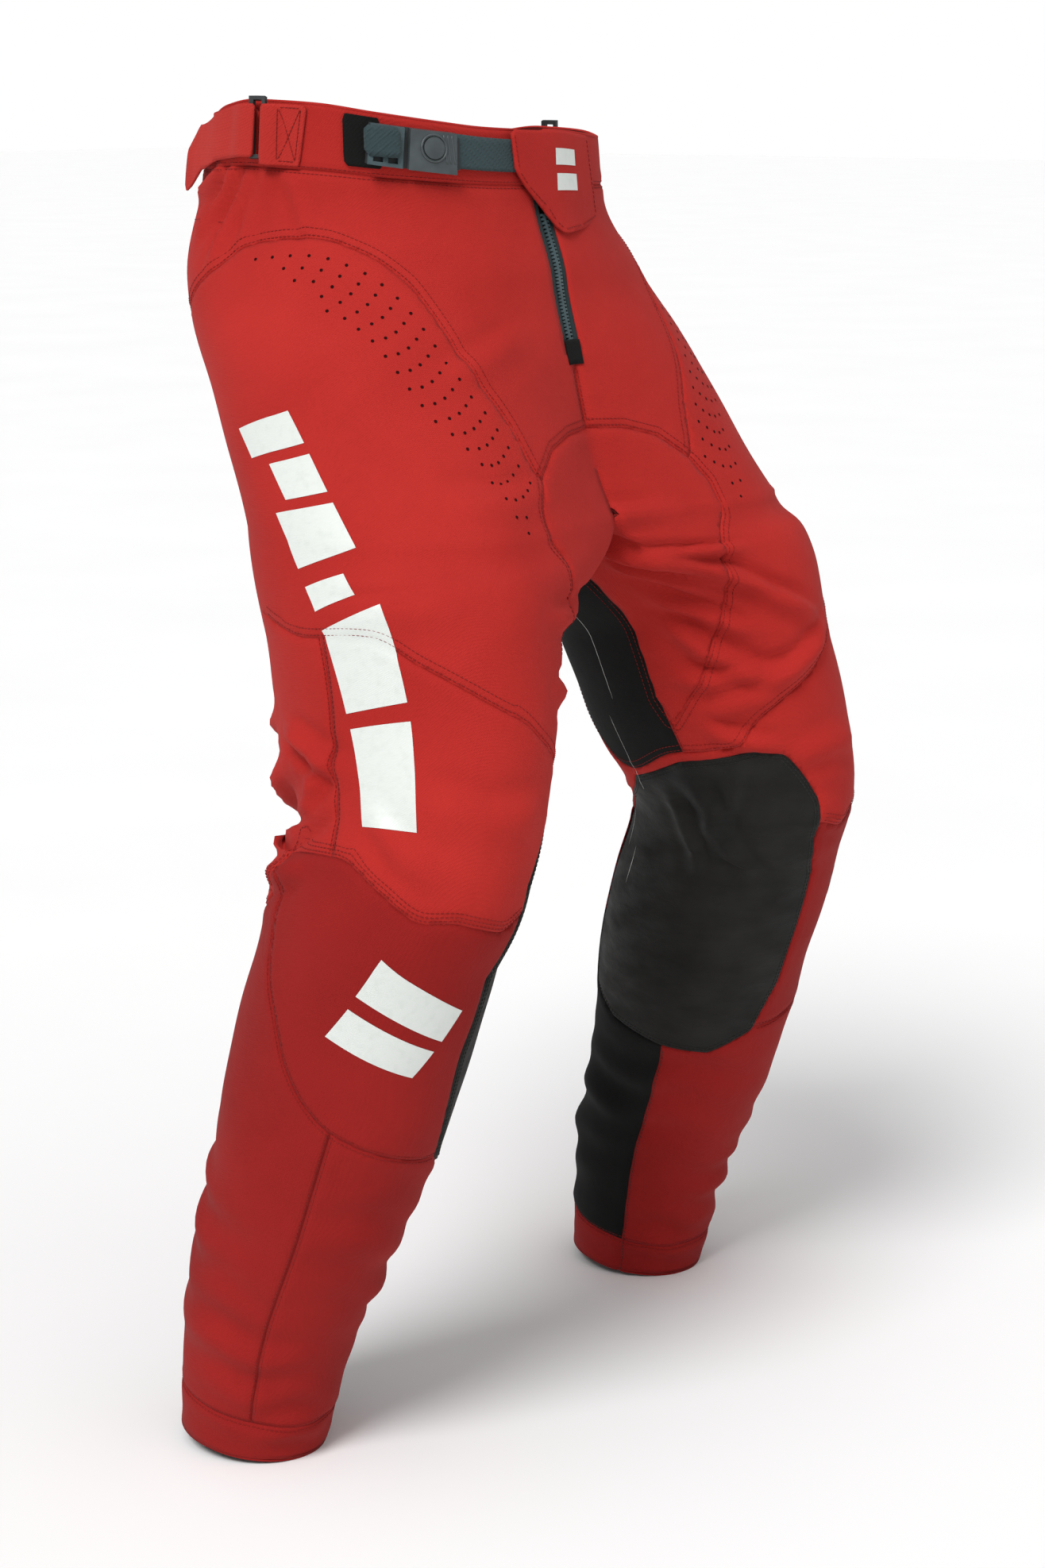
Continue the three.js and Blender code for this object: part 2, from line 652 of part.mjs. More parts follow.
const pullBore = new THREE.CylinderGeometry(boreRadius, boreRadius, 2 * pull.width, 12)
  .rotateZ(Math.PI / 2)
  .translate(0, pinY, pinHeight);
const pullEye = new THREE.CylinderGeometry(eyeRadius, eyeRadius, pull.width, 14)
  .rotateZ(Math.PI / 2)
  .translate(0, pinY, pinHeight);
const pullHalf = pull.width / 2;
const pullFoot = pinHeight - pull.thickness / 2;
const pullPlate = block(
  [-pullHalf, pinY - pull.length, pullFoot],
  [pullHalf, pinY, pullFoot + pull.thickness],
);
addPart("zip_pull", less(joined([pullEye, pullPlate]), [pullBore]), steel, fly);

const patchHalf = endPatch.width / 2;
const patchLow = zip.recess + endPatch.thickness;
const patchEnd = -zip.length - endPatch.below;
addPart(
  "zip_end_patch",
  block(
    [-patchHalf, patchEnd, patchLow],
    [patchHalf, patchEnd + endPatch.length, patchLow + endPatch.thickness],
  ),
  black,
  fly,
);
const facingTop = -plateOut - clearance;
addPart(
  "fly_facing",
  block(
    [-facing.width / 2, -zip.length - facing.below, facingTop - facing.thickness],
    [facing.width / 2, facing.above, facingTop],
  ),
  black,
  fly,
);

// ---------- waist straps ----------
// Straps lie on a cone round an upright axis that follows a stretch of the waistband, so
// they can slide round it. `from` and `to` are degrees left of the fly.
function circleThrough(a, b, c) {
  const d = 2 * (a.x * (b.y - c.y) + b.x * (c.y - a.y) + c.x * (a.y - b.y));
  const [sa, sb, sc] = [a, b, c].map((p) => p.x * p.x + p.y * p.y);
  const x = (sa * (b.y - c.y) + sb * (c.y - a.y) + sc * (a.y - b.y)) / d;
  const y = (sa * (c.x - b.x) + sb * (a.x - c.x) + sc * (b.x - a.x)) / d;
  return { x, y, radius: Math.hypot(a.x - x, a.y - y) };
}

const waistVertex = (turn, level) => {
  const side = turn < 0 ? "right" : "left";
  const angle = Math.abs(turn) + centreFront;
  return { ...makeVertex(side, false, level, angle), angle: turn };
};
const bandLevel = bandHeight / riseLength;
const stripStep = 0.09; // radians between the corners of a strap

function strapPath(from, to) {
  const onBand = (turn, share) => waistVertex(turn, share * bandLevel).position.clone();
  const [start, halfway, end] = [from, (from + to) / 2, to].map((turn) => onBand(turn, 0.5));
  const up = new THREE.Vector3().crossVectors(halfway.clone().sub(start), end.sub(halfway));
  up.multiplyScalar(Math.sign(up.z)).normalize();
  const across = new THREE.Vector3(1, 0, 0).addScaledVector(up, -up.x).normalize();
  const basis = new THREE.Matrix4().makeBasis(
    across,
    new THREE.Vector3().crossVectors(up, across),
    up,
  );
  const flatten = basis.clone().invert();
  const at = (turn, share) => onBand(turn, share).applyMatrix4(flatten);
  const middle = (from + to) / 2;
  const circle = circleThrough(at(from, 0.5), at(middle, 0.5), at(to, 0.5));
  const height = at(middle, 0.5).z;
  const reach = (turn, share) => {
    const point = at(turn, share);
    return { out: Math.hypot(point.x - circle.x, point.y - circle.y), up: point.z - height };
  };
  const top = reach(middle, 0.1);
  const bottom = reach(middle, 0.9);
  const taper = (bottom.out - top.out) / (top.up - bottom.up);
  const gaps = spread(from, to, 9).flatMap((turn) =>
    [0, 0.5, 1].map((share) => {
      const { out, up } = reach(turn, share);
      return out + taper * up;
    }),
  );
  const radius = Math.max(...gaps) + clearance;
  const group = new THREE.Group();
  group.setRotationFromMatrix(basis);
  group.position.set(circle.x, circle.y, height).applyMatrix4(basis);
  group.updateMatrix();
  trousers.add(group);
  const turnAt = (turn) => {
    const point = at(turn, 0.5);
    return Math.atan2(point.x - circle.x, circle.y - point.y);
  };
  const strip = (inner, outer, first, last, bottom, top) => {
    const [low, high] = [first, last].sort((a, b) => a - b);
    const steps = Math.max(2, Math.ceil((high - low) / stripStep));
    const shape = new THREE.Shape();
    spread(low, high, steps).forEach((turn, i) => {
      const corner = [Math.sin(turn) * (radius + outer), -Math.cos(turn) * (radius + outer)];
      if (i === 0) shape.moveTo(...corner);
      else shape.lineTo(...corner);
    });
    for (const turn of spread(high, low, steps)) {
      shape.lineTo(Math.sin(turn) * (radius + inner), -Math.cos(turn) * (radius + inner));
    }
    const solid = new THREE.ExtrudeGeometry(shape, { depth: top - bottom, bevelEnabled: false });
    solid.translate(0, 0, bottom);
    const corners = solid.attributes.position;
    for (let i = 0; i < corners.count; i += 1) {
      const scale = 1 - (taper * corners.getZ(i)) / radius;
      corners.setXY(i, corners.getX(i) * scale, corners.getY(i) * scale);
    }
    return solid;
  };
  return { group, radius, taper, turnAt, strip };
}

const beltPath = strapPath(beltFit.from, beltFit.to);
const beltGroup = beltPath.group;
const beltRadius = beltPath.radius;
const firstTurn = beltPath.turnAt(0);
const beltTurn = (millimetres) => firstTurn - millimetres / beltRadius;
const beltStrip = (inner, outer, from, to, half) =>
  beltPath.strip(inner, outer, beltTurn(from), beltTurn(to), -half, half);

const tabOuter = anchorTab.thickness;
const baseInner = tabOuter + clearance;
const baseOuter = baseInner + buckle.base;
const tongueInner = baseOuter + clearance;
const tongueOuter = tongueInner + webbing.thickness;
const roofInner = tongueOuter + clearance;
const roofOuter = roofInner + buckle.roof;
const coverHalf = buckle.height / 2;
const railInner = coverHalf - buckle.rail;
const coverMiddle = (cover.from + cover.to) / 2;

addPart(
  "buckle_anchor_tab",
  beltStrip(0, tabOuter, anchorTab.from, anchorTab.to, anchorTab.height / 2),
  black,
  beltGroup,
);
addPart(
  "buckle_base",
  beltStrip(baseInner, baseOuter, buckle.from, buckle.to, coverHalf),
  plastic,
  beltGroup,
);

// A cylinder that points out of the belt at the middle of the cover.
function outward(radius, inner, outer, sides = 24) {
  const turn = beltTurn(coverMiddle);
  const lean = Math.cos(Math.atan(beltPath.taper));
  const radial = new THREE.Vector3(Math.sin(turn), -Math.cos(turn), 0);
  const normal = radial.clone().add(new THREE.Vector3(0, 0, beltPath.taper)).normalize();
  const rise = (lean * (inner + outer)) / 2;
  const middle = radial.multiplyScalar(beltRadius).addScaledVector(normal, rise);
  const upright = new THREE.Vector3(0, 1, 0);
  return new THREE.CylinderGeometry(radius, radius, lean * (outer - inner), sides)
    .applyQuaternion(new THREE.Quaternion().setFromUnitVectors(upright, normal))
    .translate(...middle);
}
const coverSolid = less(beltStrip(tongueInner, roofOuter, cover.from, cover.to, coverHalf), [
  beltStrip(tongueInner - 1, roofInner, cover.from - 2, cover.to - 4, railInner),
  outward(button.radius + clearance, roofInner - 2, roofOuter + 4),
]);
addPart("buckle_cover", coverSolid, plastic, beltGroup);
const buttonLow = roofInner + button.travel;
addPart(
  "buckle_button",
  outward(button.radius, buttonLow, roofOuter + button.proud),
  plastic,
  beltGroup,
);
addPart(
  "buckle_spring",
  less(outward(button.spring, roofInner + clearance, buttonLow - 0.2, 16), [
    outward(button.spring - 1.5, roofInner - 2, buttonLow + 2, 16),
  ]),
  steel,
  beltGroup,
);
const ladderWindow = (ladder.to - ladder.from - 3 * ladder.bar) / 2;
const ladderCuts = [0, 1].map((i) => {
  const from = ladder.from + ladder.bar + i * (ladderWindow + ladder.bar);
  return beltStrip(baseOuter - 1, baseOuter + 9, from, from + ladderWindow, railInner);
});
addPart(
  "ladder_lock",
  less(
    beltStrip(
      baseOuter + clearance,
      baseOuter + clearance + ladder.height,
      ladder.from,
      ladder.to,
      coverHalf,
    ),
    ladderCuts,
  ),
  teal,
  beltGroup,
);
const tongueFrom = belt.tongueEnd - belt.tongueLength;
addPart(
  "belt_tongue",
  beltStrip(tongueInner, tongueOuter, tongueFrom, belt.tongueEnd, railInner - clearance),
  plastic,
  beltGroup,
);
addPart(
  "belt_webbing",
  beltStrip(
    tongueInner,
    tongueOuter,
    -belt.webbingEnd,
    tongueFrom - clearance,
    webbing.width / 2,
  ),
  teal,
  beltGroup,
);

// ---------- front flap ----------
// Its outline in [degrees left of the fly, level].
const flapOutline = [
  [-12, 0.008], [-12, 0.1], [-9, 0.135], [-2, 0.19], [6, 0.256], [20, 0.243],
  [flap.hinge, 0.215], [flap.hinge, 0.008],
];
const weltFrom = flap.hinge + 1;
const weltTo = weltFrom + flap.welt / 2;
const weltOutline = [[weltFrom, 0.008], [weltFrom, 0.2], [weltTo, 0.195], [weltTo, 0.008]];
const flapGrid = spread(0, 0.28, 7).map((level) =>
  spread(-15, 45, 10).map((turn) => waistVertex(turn, level)),
);
const flapSheet = flapGrid.slice(1).flatMap((row, i) =>
  row.slice(1).flatMap((vertex, j) => [
    [flapGrid[i][j], vertex, flapGrid[i][j + 1]],
    [flapGrid[i][j], row[j], vertex],
  ]),
);
// It clears the webbing that runs under it.
const overBelt = flapGrid.flat().map(({ position }) => {
  const onBelt = position.clone().applyMatrix4(beltGroup.matrix.clone().invert());
  if (Math.abs(onBelt.z) > webbing.width) return 0;
  const cone = (beltRadius + tongueOuter) * (1 - (beltPath.taper * onBelt.z) / beltRadius);
  return cone - Math.hypot(onBelt.x, onBelt.y);
});
const flapInner = Math.max(...overBelt) + clearance;
const flapOuter = flapInner + flap.thickness;
addPart(
  "front_flap",
  thicken(
    clip(flapSheet, past(insideOutline(flapOutline))),
    flapOuter,
    flapInner,
  ),
  red,
);
addPart(
  "flap_welt",
  thicken(
    clip(flapSheet, past(insideOutline(weltOutline))),
    flapOuter,
    clearance,
  ),
  red,
);

// ---------- side adjusters ----------
for (const [side, sign] of Object.entries(sideSign)) {
  const fromFly = (angle) => sign * (angle - centreFront);
  const path = strapPath(fromFly(adjuster.tabFrom), fromFly(adjuster.strapTo));
  const { group } = path;
  const turnAt = (angle) => path.turnAt(fromFly(angle));
  const curve = (inner, outer, from, to, low, high) =>
    path.strip(inner, outer, turnAt(from), turnAt(to), low, high);
  const halfTab = adjuster.tabHeight / 2;
  const halfRing = adjuster.ringHeight / 2;
  const halfStrap = adjuster.strapHeight / 2;
  const ringFrom = adjuster.ringAt - adjuster.ringLength / 2 / millimetresPerDegree;
  const ringTo = adjuster.ringAt + adjuster.ringLength / 2 / millimetresPerDegree;
  const wire = adjuster.ringWire / millimetresPerDegree;
  addPart(
    `adjuster_tab_${side}`,
    curve(0, adjuster.tabThickness, adjuster.tabFrom, adjuster.tabTo, -halfTab, halfTab),
    red,
    group,
  );
  const ringInner = 0.4;
  const ringOuter = ringInner + adjuster.ringWire;
  addPart(
    `adjuster_ring_${side}`,
    less(curve(ringInner, ringOuter, ringFrom, ringTo, -halfRing, halfRing), [
      curve(
        ringInner - 2,
        ringOuter + 2,
        ringFrom + wire,
        ringTo - wire,
        adjuster.ringWire - halfRing,
        halfRing - adjuster.ringWire,
      ),
    ]),
    plastic,
    group,
  );
  const strapFrom = ringTo + 2 * clearance;
  const strapOuter = adjuster.strapThickness;
  addPart(
    `adjuster_strap_${side}`,
    curve(0, strapOuter, strapFrom, adjuster.strapTo, -halfStrap, halfStrap),
    red,
    group,
  );
  const tailInner = strapOuter + clearance;
  const tailOuter = tailInner + adjuster.strapThickness;
  const tailFrom = strapFrom + 1;
  addPart(
    `adjuster_tail_${side}`,
    joined([
      curve(tailInner, tailOuter, tailFrom, adjuster.tailTo, -halfStrap, halfStrap),
      curve(
        tailInner,
        tailOuter,
        adjuster.tailTo - 1,
        adjuster.tailTo + adjuster.tailPoint / millimetresPerDegree,
        -halfStrap / 2,
        halfStrap / 2,
      ),
    ]),
    red,
    group,
  );
}

export default trousers;
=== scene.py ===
import math

import bmesh
import bpy
import numpy as np
from mathutils import Euler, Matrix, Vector
from mathutils.bvhtree import BVHTree
from mathutils.kdtree import KDTree


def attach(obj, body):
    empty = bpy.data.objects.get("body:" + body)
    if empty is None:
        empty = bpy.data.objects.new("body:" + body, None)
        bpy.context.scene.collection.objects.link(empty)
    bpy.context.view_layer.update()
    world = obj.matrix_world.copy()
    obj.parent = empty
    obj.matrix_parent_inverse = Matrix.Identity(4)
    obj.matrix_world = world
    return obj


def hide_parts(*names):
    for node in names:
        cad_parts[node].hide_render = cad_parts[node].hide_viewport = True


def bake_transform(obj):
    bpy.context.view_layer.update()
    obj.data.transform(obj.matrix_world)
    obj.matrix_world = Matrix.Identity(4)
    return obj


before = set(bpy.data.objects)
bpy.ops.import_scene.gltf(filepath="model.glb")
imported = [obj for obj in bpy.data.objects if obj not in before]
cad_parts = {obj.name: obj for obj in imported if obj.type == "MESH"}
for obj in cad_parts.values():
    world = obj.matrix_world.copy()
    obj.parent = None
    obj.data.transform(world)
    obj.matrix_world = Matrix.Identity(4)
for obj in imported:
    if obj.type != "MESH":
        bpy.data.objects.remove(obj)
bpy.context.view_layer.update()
print("frame loaded")

# Camera: from the wearer's right front, looking a little down
cameraView = {"place": (-1.834, -1.602, 0.025), "heading": 50.9, "pitch": -12.6, "lens": 71.1}

cameraData = bpy.data.cameras.new("camera")
cameraData.lens = cameraView["lens"]
camera = bpy.data.objects.new("camera", cameraData)
bpy.context.scene.collection.objects.link(camera)
camera.location = cameraView["place"]
camera.rotation_euler = Euler((math.radians(90 + cameraView["pitch"]), 0,
                               -math.radians(cameraView["heading"])))
bpy.context.scene.camera = camera

# The shape of the worn trousers
# Levels run 0 at the waist opening, 1 at the crotch and 2 at the hem. Angles run from -45 at the
# centre front round the outer side at 90 to 225 at the centre back. Lengths are in metres.
bodyShape = {
    "rise": 0.285,
    "legLength": 0.69,
    "rimSlope": 0.1,  # the back of the waist stands higher
    "rimFade": 0.526,
    "squareness": 2 / 2.3,
    "lobeShare": 0.85,  # how far the thighs part the trunk at the crotch
    "lobeStart": 0.21,
    "legRounding": 0.13,
    "kneePinch": {"level": 1.305, "height": 0.032, "angle": 145, "spread": 52, "depth": 0.2},
    # how far the waist opening rises above its sloped plane, by angle
    "rimRise": [(-45, 0.009), (-20, 0.011), (0, 0.014), (30, 0.018), (60, 0.021), (90, 0.019),
                (115, 0.011), (140, 0.001), (225, 0)],
    "rimRiseEnd": 0.267,
    "rimLean": 0.022,  # the waist opening hangs lower on the left
    # level, half width, half depth, centre y
    "trunk": [(0, 0.164, 0.120, 0), (0.175, 0.165, 0.134, 0.004), (0.386, 0.190, 0.146, -0.004),
              (0.632, 0.214, 0.140, -0.034), (1, 0.214, 0.148, -0.070)],
    # level, centre x, centre y, half width, half depth
    "leg": [(0.386, 0.108, -0.038, 0.108, 0.125), (1, 0.150, -0.118, 0.104, 0.112),
            (1.1, 0.163, -0.142, 0.098, 0.114), (1.2, 0.177, -0.156, 0.088, 0.112),
            (1.34, 0.210, -0.170, 0.079, 0.102), (1.41, 0.221, -0.160, 0.078, 0.091),
            (1.56, 0.224, -0.127, 0.080, 0.089), (1.7, 0.234, -0.100, 0.074, 0.080),
            (1.85, 0.241, -0.064, 0.064, 0.069), (2, 0.244, -0.044, 0.053, 0.058)],
}
sideSign = {"right": -1, "left": 1}
centreFront, centreBack = -45, 225
mmPerDegree = 1.7  # near enough for distances across a leg or the waist


def curveThrough(points):
    # A smooth curve through the points that never overshoots them.
    x, y = (np.array(values, float) for values in zip(*points))
    step, rise = np.diff(x), np.diff(y) / np.diff(x)
    slope = np.concatenate([[rise[0]], np.zeros(len(x) - 2), [rise[-1]]])
    for i in range(1, len(x) - 1):
        if rise[i - 1] * rise[i] > 0:
            early, late = 2 * step[i] + step[i - 1], step[i] + 2 * step[i - 1]
            slope[i] = (early + late) / (early / rise[i - 1] + late / rise[i])

    def curve(at):
        at = np.clip(np.asarray(at, float), x[0], x[-1])
        i = np.clip(np.searchsorted(x, at, side="right") - 1, 0, len(x) - 2)
        t = (at - x[i]) / step[i]
        return ((2 * t**3 - 3 * t**2 + 1) * y[i] + (t**3 - 2 * t**2 + t) * step[i] * slope[i]
                + (3 * t**2 - 2 * t**3) * y[i + 1] + (t**3 - t**2) * step[i] * slope[i + 1])
    return curve


def column(table, index):
    return curveThrough([(row[0], row[index]) for row in bodyShape[table]])


trunkWidth, trunkDepth, trunkY = (column("trunk", i) for i in (1, 2, 3))
legX, legY, legWidth, legDepth = (column("leg", i) for i in (1, 2, 3, 4))
rimLift = curveThrough(bodyShape["rimRise"])


def downOf(level):
    level = np.asarray(level, float)
    low = level * bodyShape["rise"]
    return np.where(level <= 1, low, bodyShape["rise"] + (level - 1) * bodyShape["legLength"])


def smooth(t):
    t = np.clip(t, 0, 1)
    return t * t * (3 - 2 * t)


def trunkPoint(level, angle):
    turn = np.radians(-90 + 180 * np.clip((angle - centreFront) / (centreBack - centreFront), 0, 1))

    def bend(value):
        return np.sign(value) * np.abs(value) ** bodyShape["squareness"]
    x = trunkWidth(level) * bend(np.maximum(np.cos(turn), 0))
    y = trunkY(level) + trunkDepth(level) * bend(np.sin(turn))
    lobeLevel = np.maximum(level, bodyShape["leg"][0][0])
    side = np.sin(np.radians(angle))
    pull = np.clip(-side / math.sqrt(0.5), 0, 1) ** 1.5
    lobeX = legX(lobeLevel) + legWidth(lobeLevel) * side
    lobeX = lobeX - pull * (legX(lobeLevel) - math.sqrt(0.5) * legWidth(lobeLevel))
    lobeY = legY(lobeLevel) - legDepth(lobeLevel) * np.cos(np.radians(angle))
    share = smooth((level - bodyShape["lobeStart"]) / (1 - bodyShape["lobeStart"]))
    share = share * bodyShape["lobeShare"]
    mixedY = y * (1 - share) + lobeY * share
    tip = bodyShape["rimSlope"] * mixedY * np.clip(1 - level / bodyShape["rimFade"], 0, 1)
    rise = rimLift(angle) * (1 - smooth(level / bodyShape["rimRiseEnd"]))
    return np.stack([x * (1 - share) + lobeX * share, mixedY, tip + rise - downOf(level)], -1)


def legPoint(level, angle):
    small = 1e-3
    fall = (downOf(level + small) - downOf(level - small)) / (2 * small)
    slopeX = (legX(level + small) - legX(level - small)) / (2 * small)
    slopeY = (legY(level + small) - legY(level - small)) / (2 * small)
    rounded = smooth((level - 1) / bodyShape["legRounding"])
    along = np.stack([slopeX / fall, slopeY / fall, -np.ones_like(fall)], -1) * rounded[:, None]
    along[:, 2] += rounded - 1
    along /= np.linalg.norm(along, axis=1, keepdims=True)
    across = np.array([1.0, 0, 0]) - along * along[:, :1]
    across /= np.linalg.norm(across, axis=1, keepdims=True)
    forward = np.cross(along, across)
    pinch = bodyShape["kneePinch"]
    aside = (near(angle, pinch["angle"]) - pinch["angle"]) / pinch["spread"]
    apart = (level - pinch["level"]) / pinch["height"]
    girth = 1 - pinch["depth"] * np.exp(-aside**2 - apart**2)
    outward = np.sin(np.radians(angle)) * legWidth(level) * girth
    ahead = np.cos(np.radians(angle)) * legDepth(level) * girth
    wrapped = np.where(angle > 270, angle - 360, angle)
    one = np.ones_like(level)
    front, back = trunkPoint(one, one * centreFront), trunkPoint(one, one * centreBack)
    share = (np.where(wrapped < 0, wrapped + 360, wrapped) - centreBack) / 90
    bridge = back * (1 - share[:, None]) + front * share[:, None]
    inTrunk = (wrapped >= centreFront) & (wrapped <= centreBack)
    edge = np.where(inTrunk[:, None], trunkPoint(one, wrapped), bridge)
    edgeAcross = edge[:, 0] - legX(one)
    edgeAhead = legY(one) - edge[:, 1]
    centre = np.stack([legX(level), legY(level), -downOf(level)], -1)
    return (centre + across * (outward * rounded + edgeAcross * (1 - rounded))[:, None]
            + forward * (ahead * rounded + edgeAhead * (1 - rounded))[:, None])


def bodyPoint(side, level, angle):
    level, angle = np.broadcast_arrays(np.asarray(level, float), np.asarray(angle, float))
    level, angle = level.ravel(), angle.ravel()
    trunk = trunkPoint(np.minimum(level, 1), angle)
    if side == "left":
        share = np.clip((angle - centreFront) / (centreBack - centreFront), 0, 1)
        fade = 1 - smooth(level / bodyShape["rimRiseEnd"])
        trunk[:, 2] -= bodyShape["rimLean"] * smooth(np.sin(np.pi * share)) * fade
    point = np.where((level <= 1)[:, None], trunk, legPoint(np.maximum(level, 1.0001), angle))
    return point * np.array([sideSign[side], 1, 1])


def inCrotch(angle):
    return (near(angle, 90) < centreFront) | (near(angle, 90) > centreBack)


def near(angle, centre):
    return np.mod(np.asarray(angle, float) - centre + 180, 360) - 180 + centre


def bodyNormal(side, level, angle):
    level, angle = np.asarray(level, float), np.asarray(angle, float)
    low = np.where(inCrotch(angle), np.maximum(level - 0.01, 1.0001), level - 0.01)
    onTrunk = level <= 1
    first = np.where(onTrunk, np.maximum(angle - 1, centreFront), angle - 1)
    last = np.where(onTrunk, np.minimum(angle + 1, centreBack), angle + 1)
    low, high = np.maximum(low, 0), np.minimum(level + 0.01, 2)
    down = bodyPoint(side, high, angle) - bodyPoint(side, low, angle)
    around = bodyPoint(side, level, last) - bodyPoint(side, level, first)
    normal = np.cross(down, around) * sideSign[side]
    normal[np.abs(bodyPoint(side, level, angle)[:, 0]) < 1e-5, 0] = 0
    return normal / np.maximum(np.linalg.norm(normal, axis=1, keepdims=True), 1e-9)


# Seams, as [angle, level] points
seamShape = {
    "hipArc": [(-60, 1.02), (-16, 0.87), (-8, 0.74), (3, 0.6), (12, 0.46), (22, 0.365),
               (40, 0.295), (60, 0.267), (86, 0.285), (106, 0.36), (134, 0.45), (150, 0.49),
               (190, 0.52), (225, 0.53)],
    "aboveKnee": [(-236, 1.077), (-210, 1.06), (-180, 1.065), (-166, 1.09), (-156, 1.205),
                  (-146, 1.24), (-117, 1.278), (-86, 1.256), (-60, 1.262), (-40, 1.24),
                  (-4, 1.219), (6, 1.207), (24, 1.19), (51, 1.154), (69, 1.125), (99, 1.113),
                  (124, 1.077)],
    "belowKnee": [(-234, 1.377), (-210, 1.42), (-180, 1.428), (-150, 1.42), (-20, 1.352),
                  (3, 1.361), (26, 1.361), (46, 1.367), (69, 1.355), (87, 1.338),
                  (118, 1.341), (126, 1.377)],
    "kneeHem": [(-60, 1.616), (-14, 1.616), (16, 1.61), (56, 1.591), (84, 1.539),
                (99, 1.497), (116, 1.443), (121, 1.4), (125, 1.372)],
    "gusset": [(-45, 0.776), (-34, 0.782), (-24, 0.81), (-17, 0.87), (-14, 0.94),
               (-15, 1.01), (-26, 1.065), (-44, 1.126), (-62, 1.19), (-80, 1.225), (-83, 1.2), (-82, 1.025),
               (-118, 1.03), (-148, 1.045), (-158, 1.02), (-152, 0.92), (-135, 0.86)],
    "grip": [(-117, 1.29), (-86, 1.267), (-50, 1.272), (-36, 1.286), (-20, 1.338),
             (-10, 1.413), (-8, 1.485), (-10, 1.557), (-19, 1.62), (-45, 1.65), (-74, 1.654),
             (-110, 1.651), (-135, 1.634), (-144, 1.587), (-145, 1.515), (-140, 1.428),
             (-130, 1.34)],
    "innerThigh": [(-82, 1.0), (-82, 1.4), (-162, 1.4), (-162, 1.09), (-166, 1.05),
                   (-160, 1.0)],
    "innerCalf": [(-162, 1.6), (-150, 1.56), (-100, 1.56), (-72, 1.6), (-72, 2.1),
                  (-162, 2.1)],
    "band": 0.1333,
    "cuff": 1.952,
    "sideBack": 150,
    "kneeSide": 90,
    "shin": 55,
    "flyEnd": 0.1702,  # metres below the waist
    "flyHalf": 0.0092,
}


def belowLine(points):
    first, last = points[0][0], points[-1][0]
    line = curveThrough(points)

    def field(level, angle, point):
        turned = np.clip(near(angle, (first + last) / 2), first, last)
        return (downOf(level) - downOf(line(turned))) * 1000
    return field


def belowLevel(line):
    return lambda level, angle, point: (downOf(level) - downOf(line)) * 1000


def between(first, last):
    middle = (first + last) / 2
    return lambda level, angle, point: (
        ((last - first) / 2 - np.abs(near(angle, middle) - middle)) * mmPerDegree)


def insideOutline(points):
    middle = sum(angle for angle, level in points) / len(points)
    corner = np.array([(angle * mmPerDegree, downOf(level) * 1000) for angle, level in points])

    def field(level, angle, point):
        x = near(angle, middle) * mmPerDegree
        y = downOf(level) * 1000
        nearest, inside = np.full(x.shape, 1e9), np.zeros(x.shape, bool)
        for a, b in zip(corner, np.roll(corner, -1, 0)):
            run = ((b - a) ** 2).sum()
            t = np.clip(((x - a[0]) * (b[0] - a[0]) + (y - a[1]) * (b[1] - a[1])) / run, 0, 1)
            away = np.hypot(x - a[0] - t * (b[0] - a[0]), y - a[1] - t * (b[1] - a[1]))
            nearest = np.minimum(nearest, away)
            if a[1] != b[1]:
                crosses = ((a[1] > y) != (b[1] > y))
                crosses &= x < a[0] + (y - a[1]) / (b[1] - a[1]) * (b[0] - a[0])
                inside ^= crosses
        return np.where(inside, nearest, -nearest)
    return field


def besideFly(level, angle, point):
    closing = smooth((downOf(level) - seamShape["flyEnd"] + 0.002) / 0.005)
    away = (np.abs(point[:, 0]) - seamShape["flyHalf"] * (1 - closing)) * 1000
    return np.where(point[:, 1] > 0, 1000.0, away)


fields = {name: belowLine(seamShape[name])
          for name in ("hipArc", "aboveKnee", "belowKnee", "kneeHem")}
fields.update({name: insideOutline(seamShape[name])
               for name in ("gusset", "grip", "innerThigh", "innerCalf")})
fields.update({
    "band": belowLevel(seamShape["band"]),
    "crotch": belowLevel(1),
    "cuff": belowLevel(seamShape["cuff"]),
    "fly": besideFly,
    "front": between(-60, 150),
    "yoke": between(150, 300),
    "thigh": between(-82, 150),
    "seat": between(150, 228),
    "frontKnee": between(-117, 90),
    "backKnee": between(90, 243),
    "kneeCap": between(-40, 130),
    "shinFront": between(-72, 55),
    "calf": between(55, 225),
})

# Each panel: its finish, and the fields it lies past (+) or before (-).
panels = {
    "waistband": ("redCloth", "-band +fly"),
    "front_panel": ("redCloth", "+band -crotch -hipArc +front -gusset +fly"),
    "rear_yoke": ("redCloth", "+band -crotch -hipArc +yoke"),
    "thigh_panel": ("redCloth", "+hipArc -aboveKnee +thigh -gusset"),
    "seat_panel": ("redCloth", "+hipArc -aboveKnee +seat -gusset -innerThigh"),
    "inner_thigh_panel": ("blackCloth", "+innerThigh -aboveKnee -gusset"),
    "above_knee_panel": ("redCloth", "+aboveKnee -belowKnee +frontKnee -grip"),
    "back_knee_panel": ("redCloth", "+aboveKnee -belowKnee +backKnee -grip"),
    # the knee, shin, calf and cuff panels take the red cloth painted darker, as painted shade
    "knee_panel": ("redClothPaintedShade", "+belowKnee -kneeHem +kneeCap -grip"),
    "knee_grip_patch": ("gripLeather", "+grip"),
    "shin_panel": ("redClothPaintedShade", "+kneeHem -cuff +shinFront -grip"),
    "calf_panel": ("redClothPaintedShade", "+belowKnee +kneeHem -cuff +calf -grip -innerCalf"),
    "inner_calf_panel": ("blackCloth", "+innerCalf -cuff -grip"),
    "ankle_cuff": ("redClothPaintedShade", "+cuff"),
    "crotch_gusset": ("redCloth", "+gusset"),
}

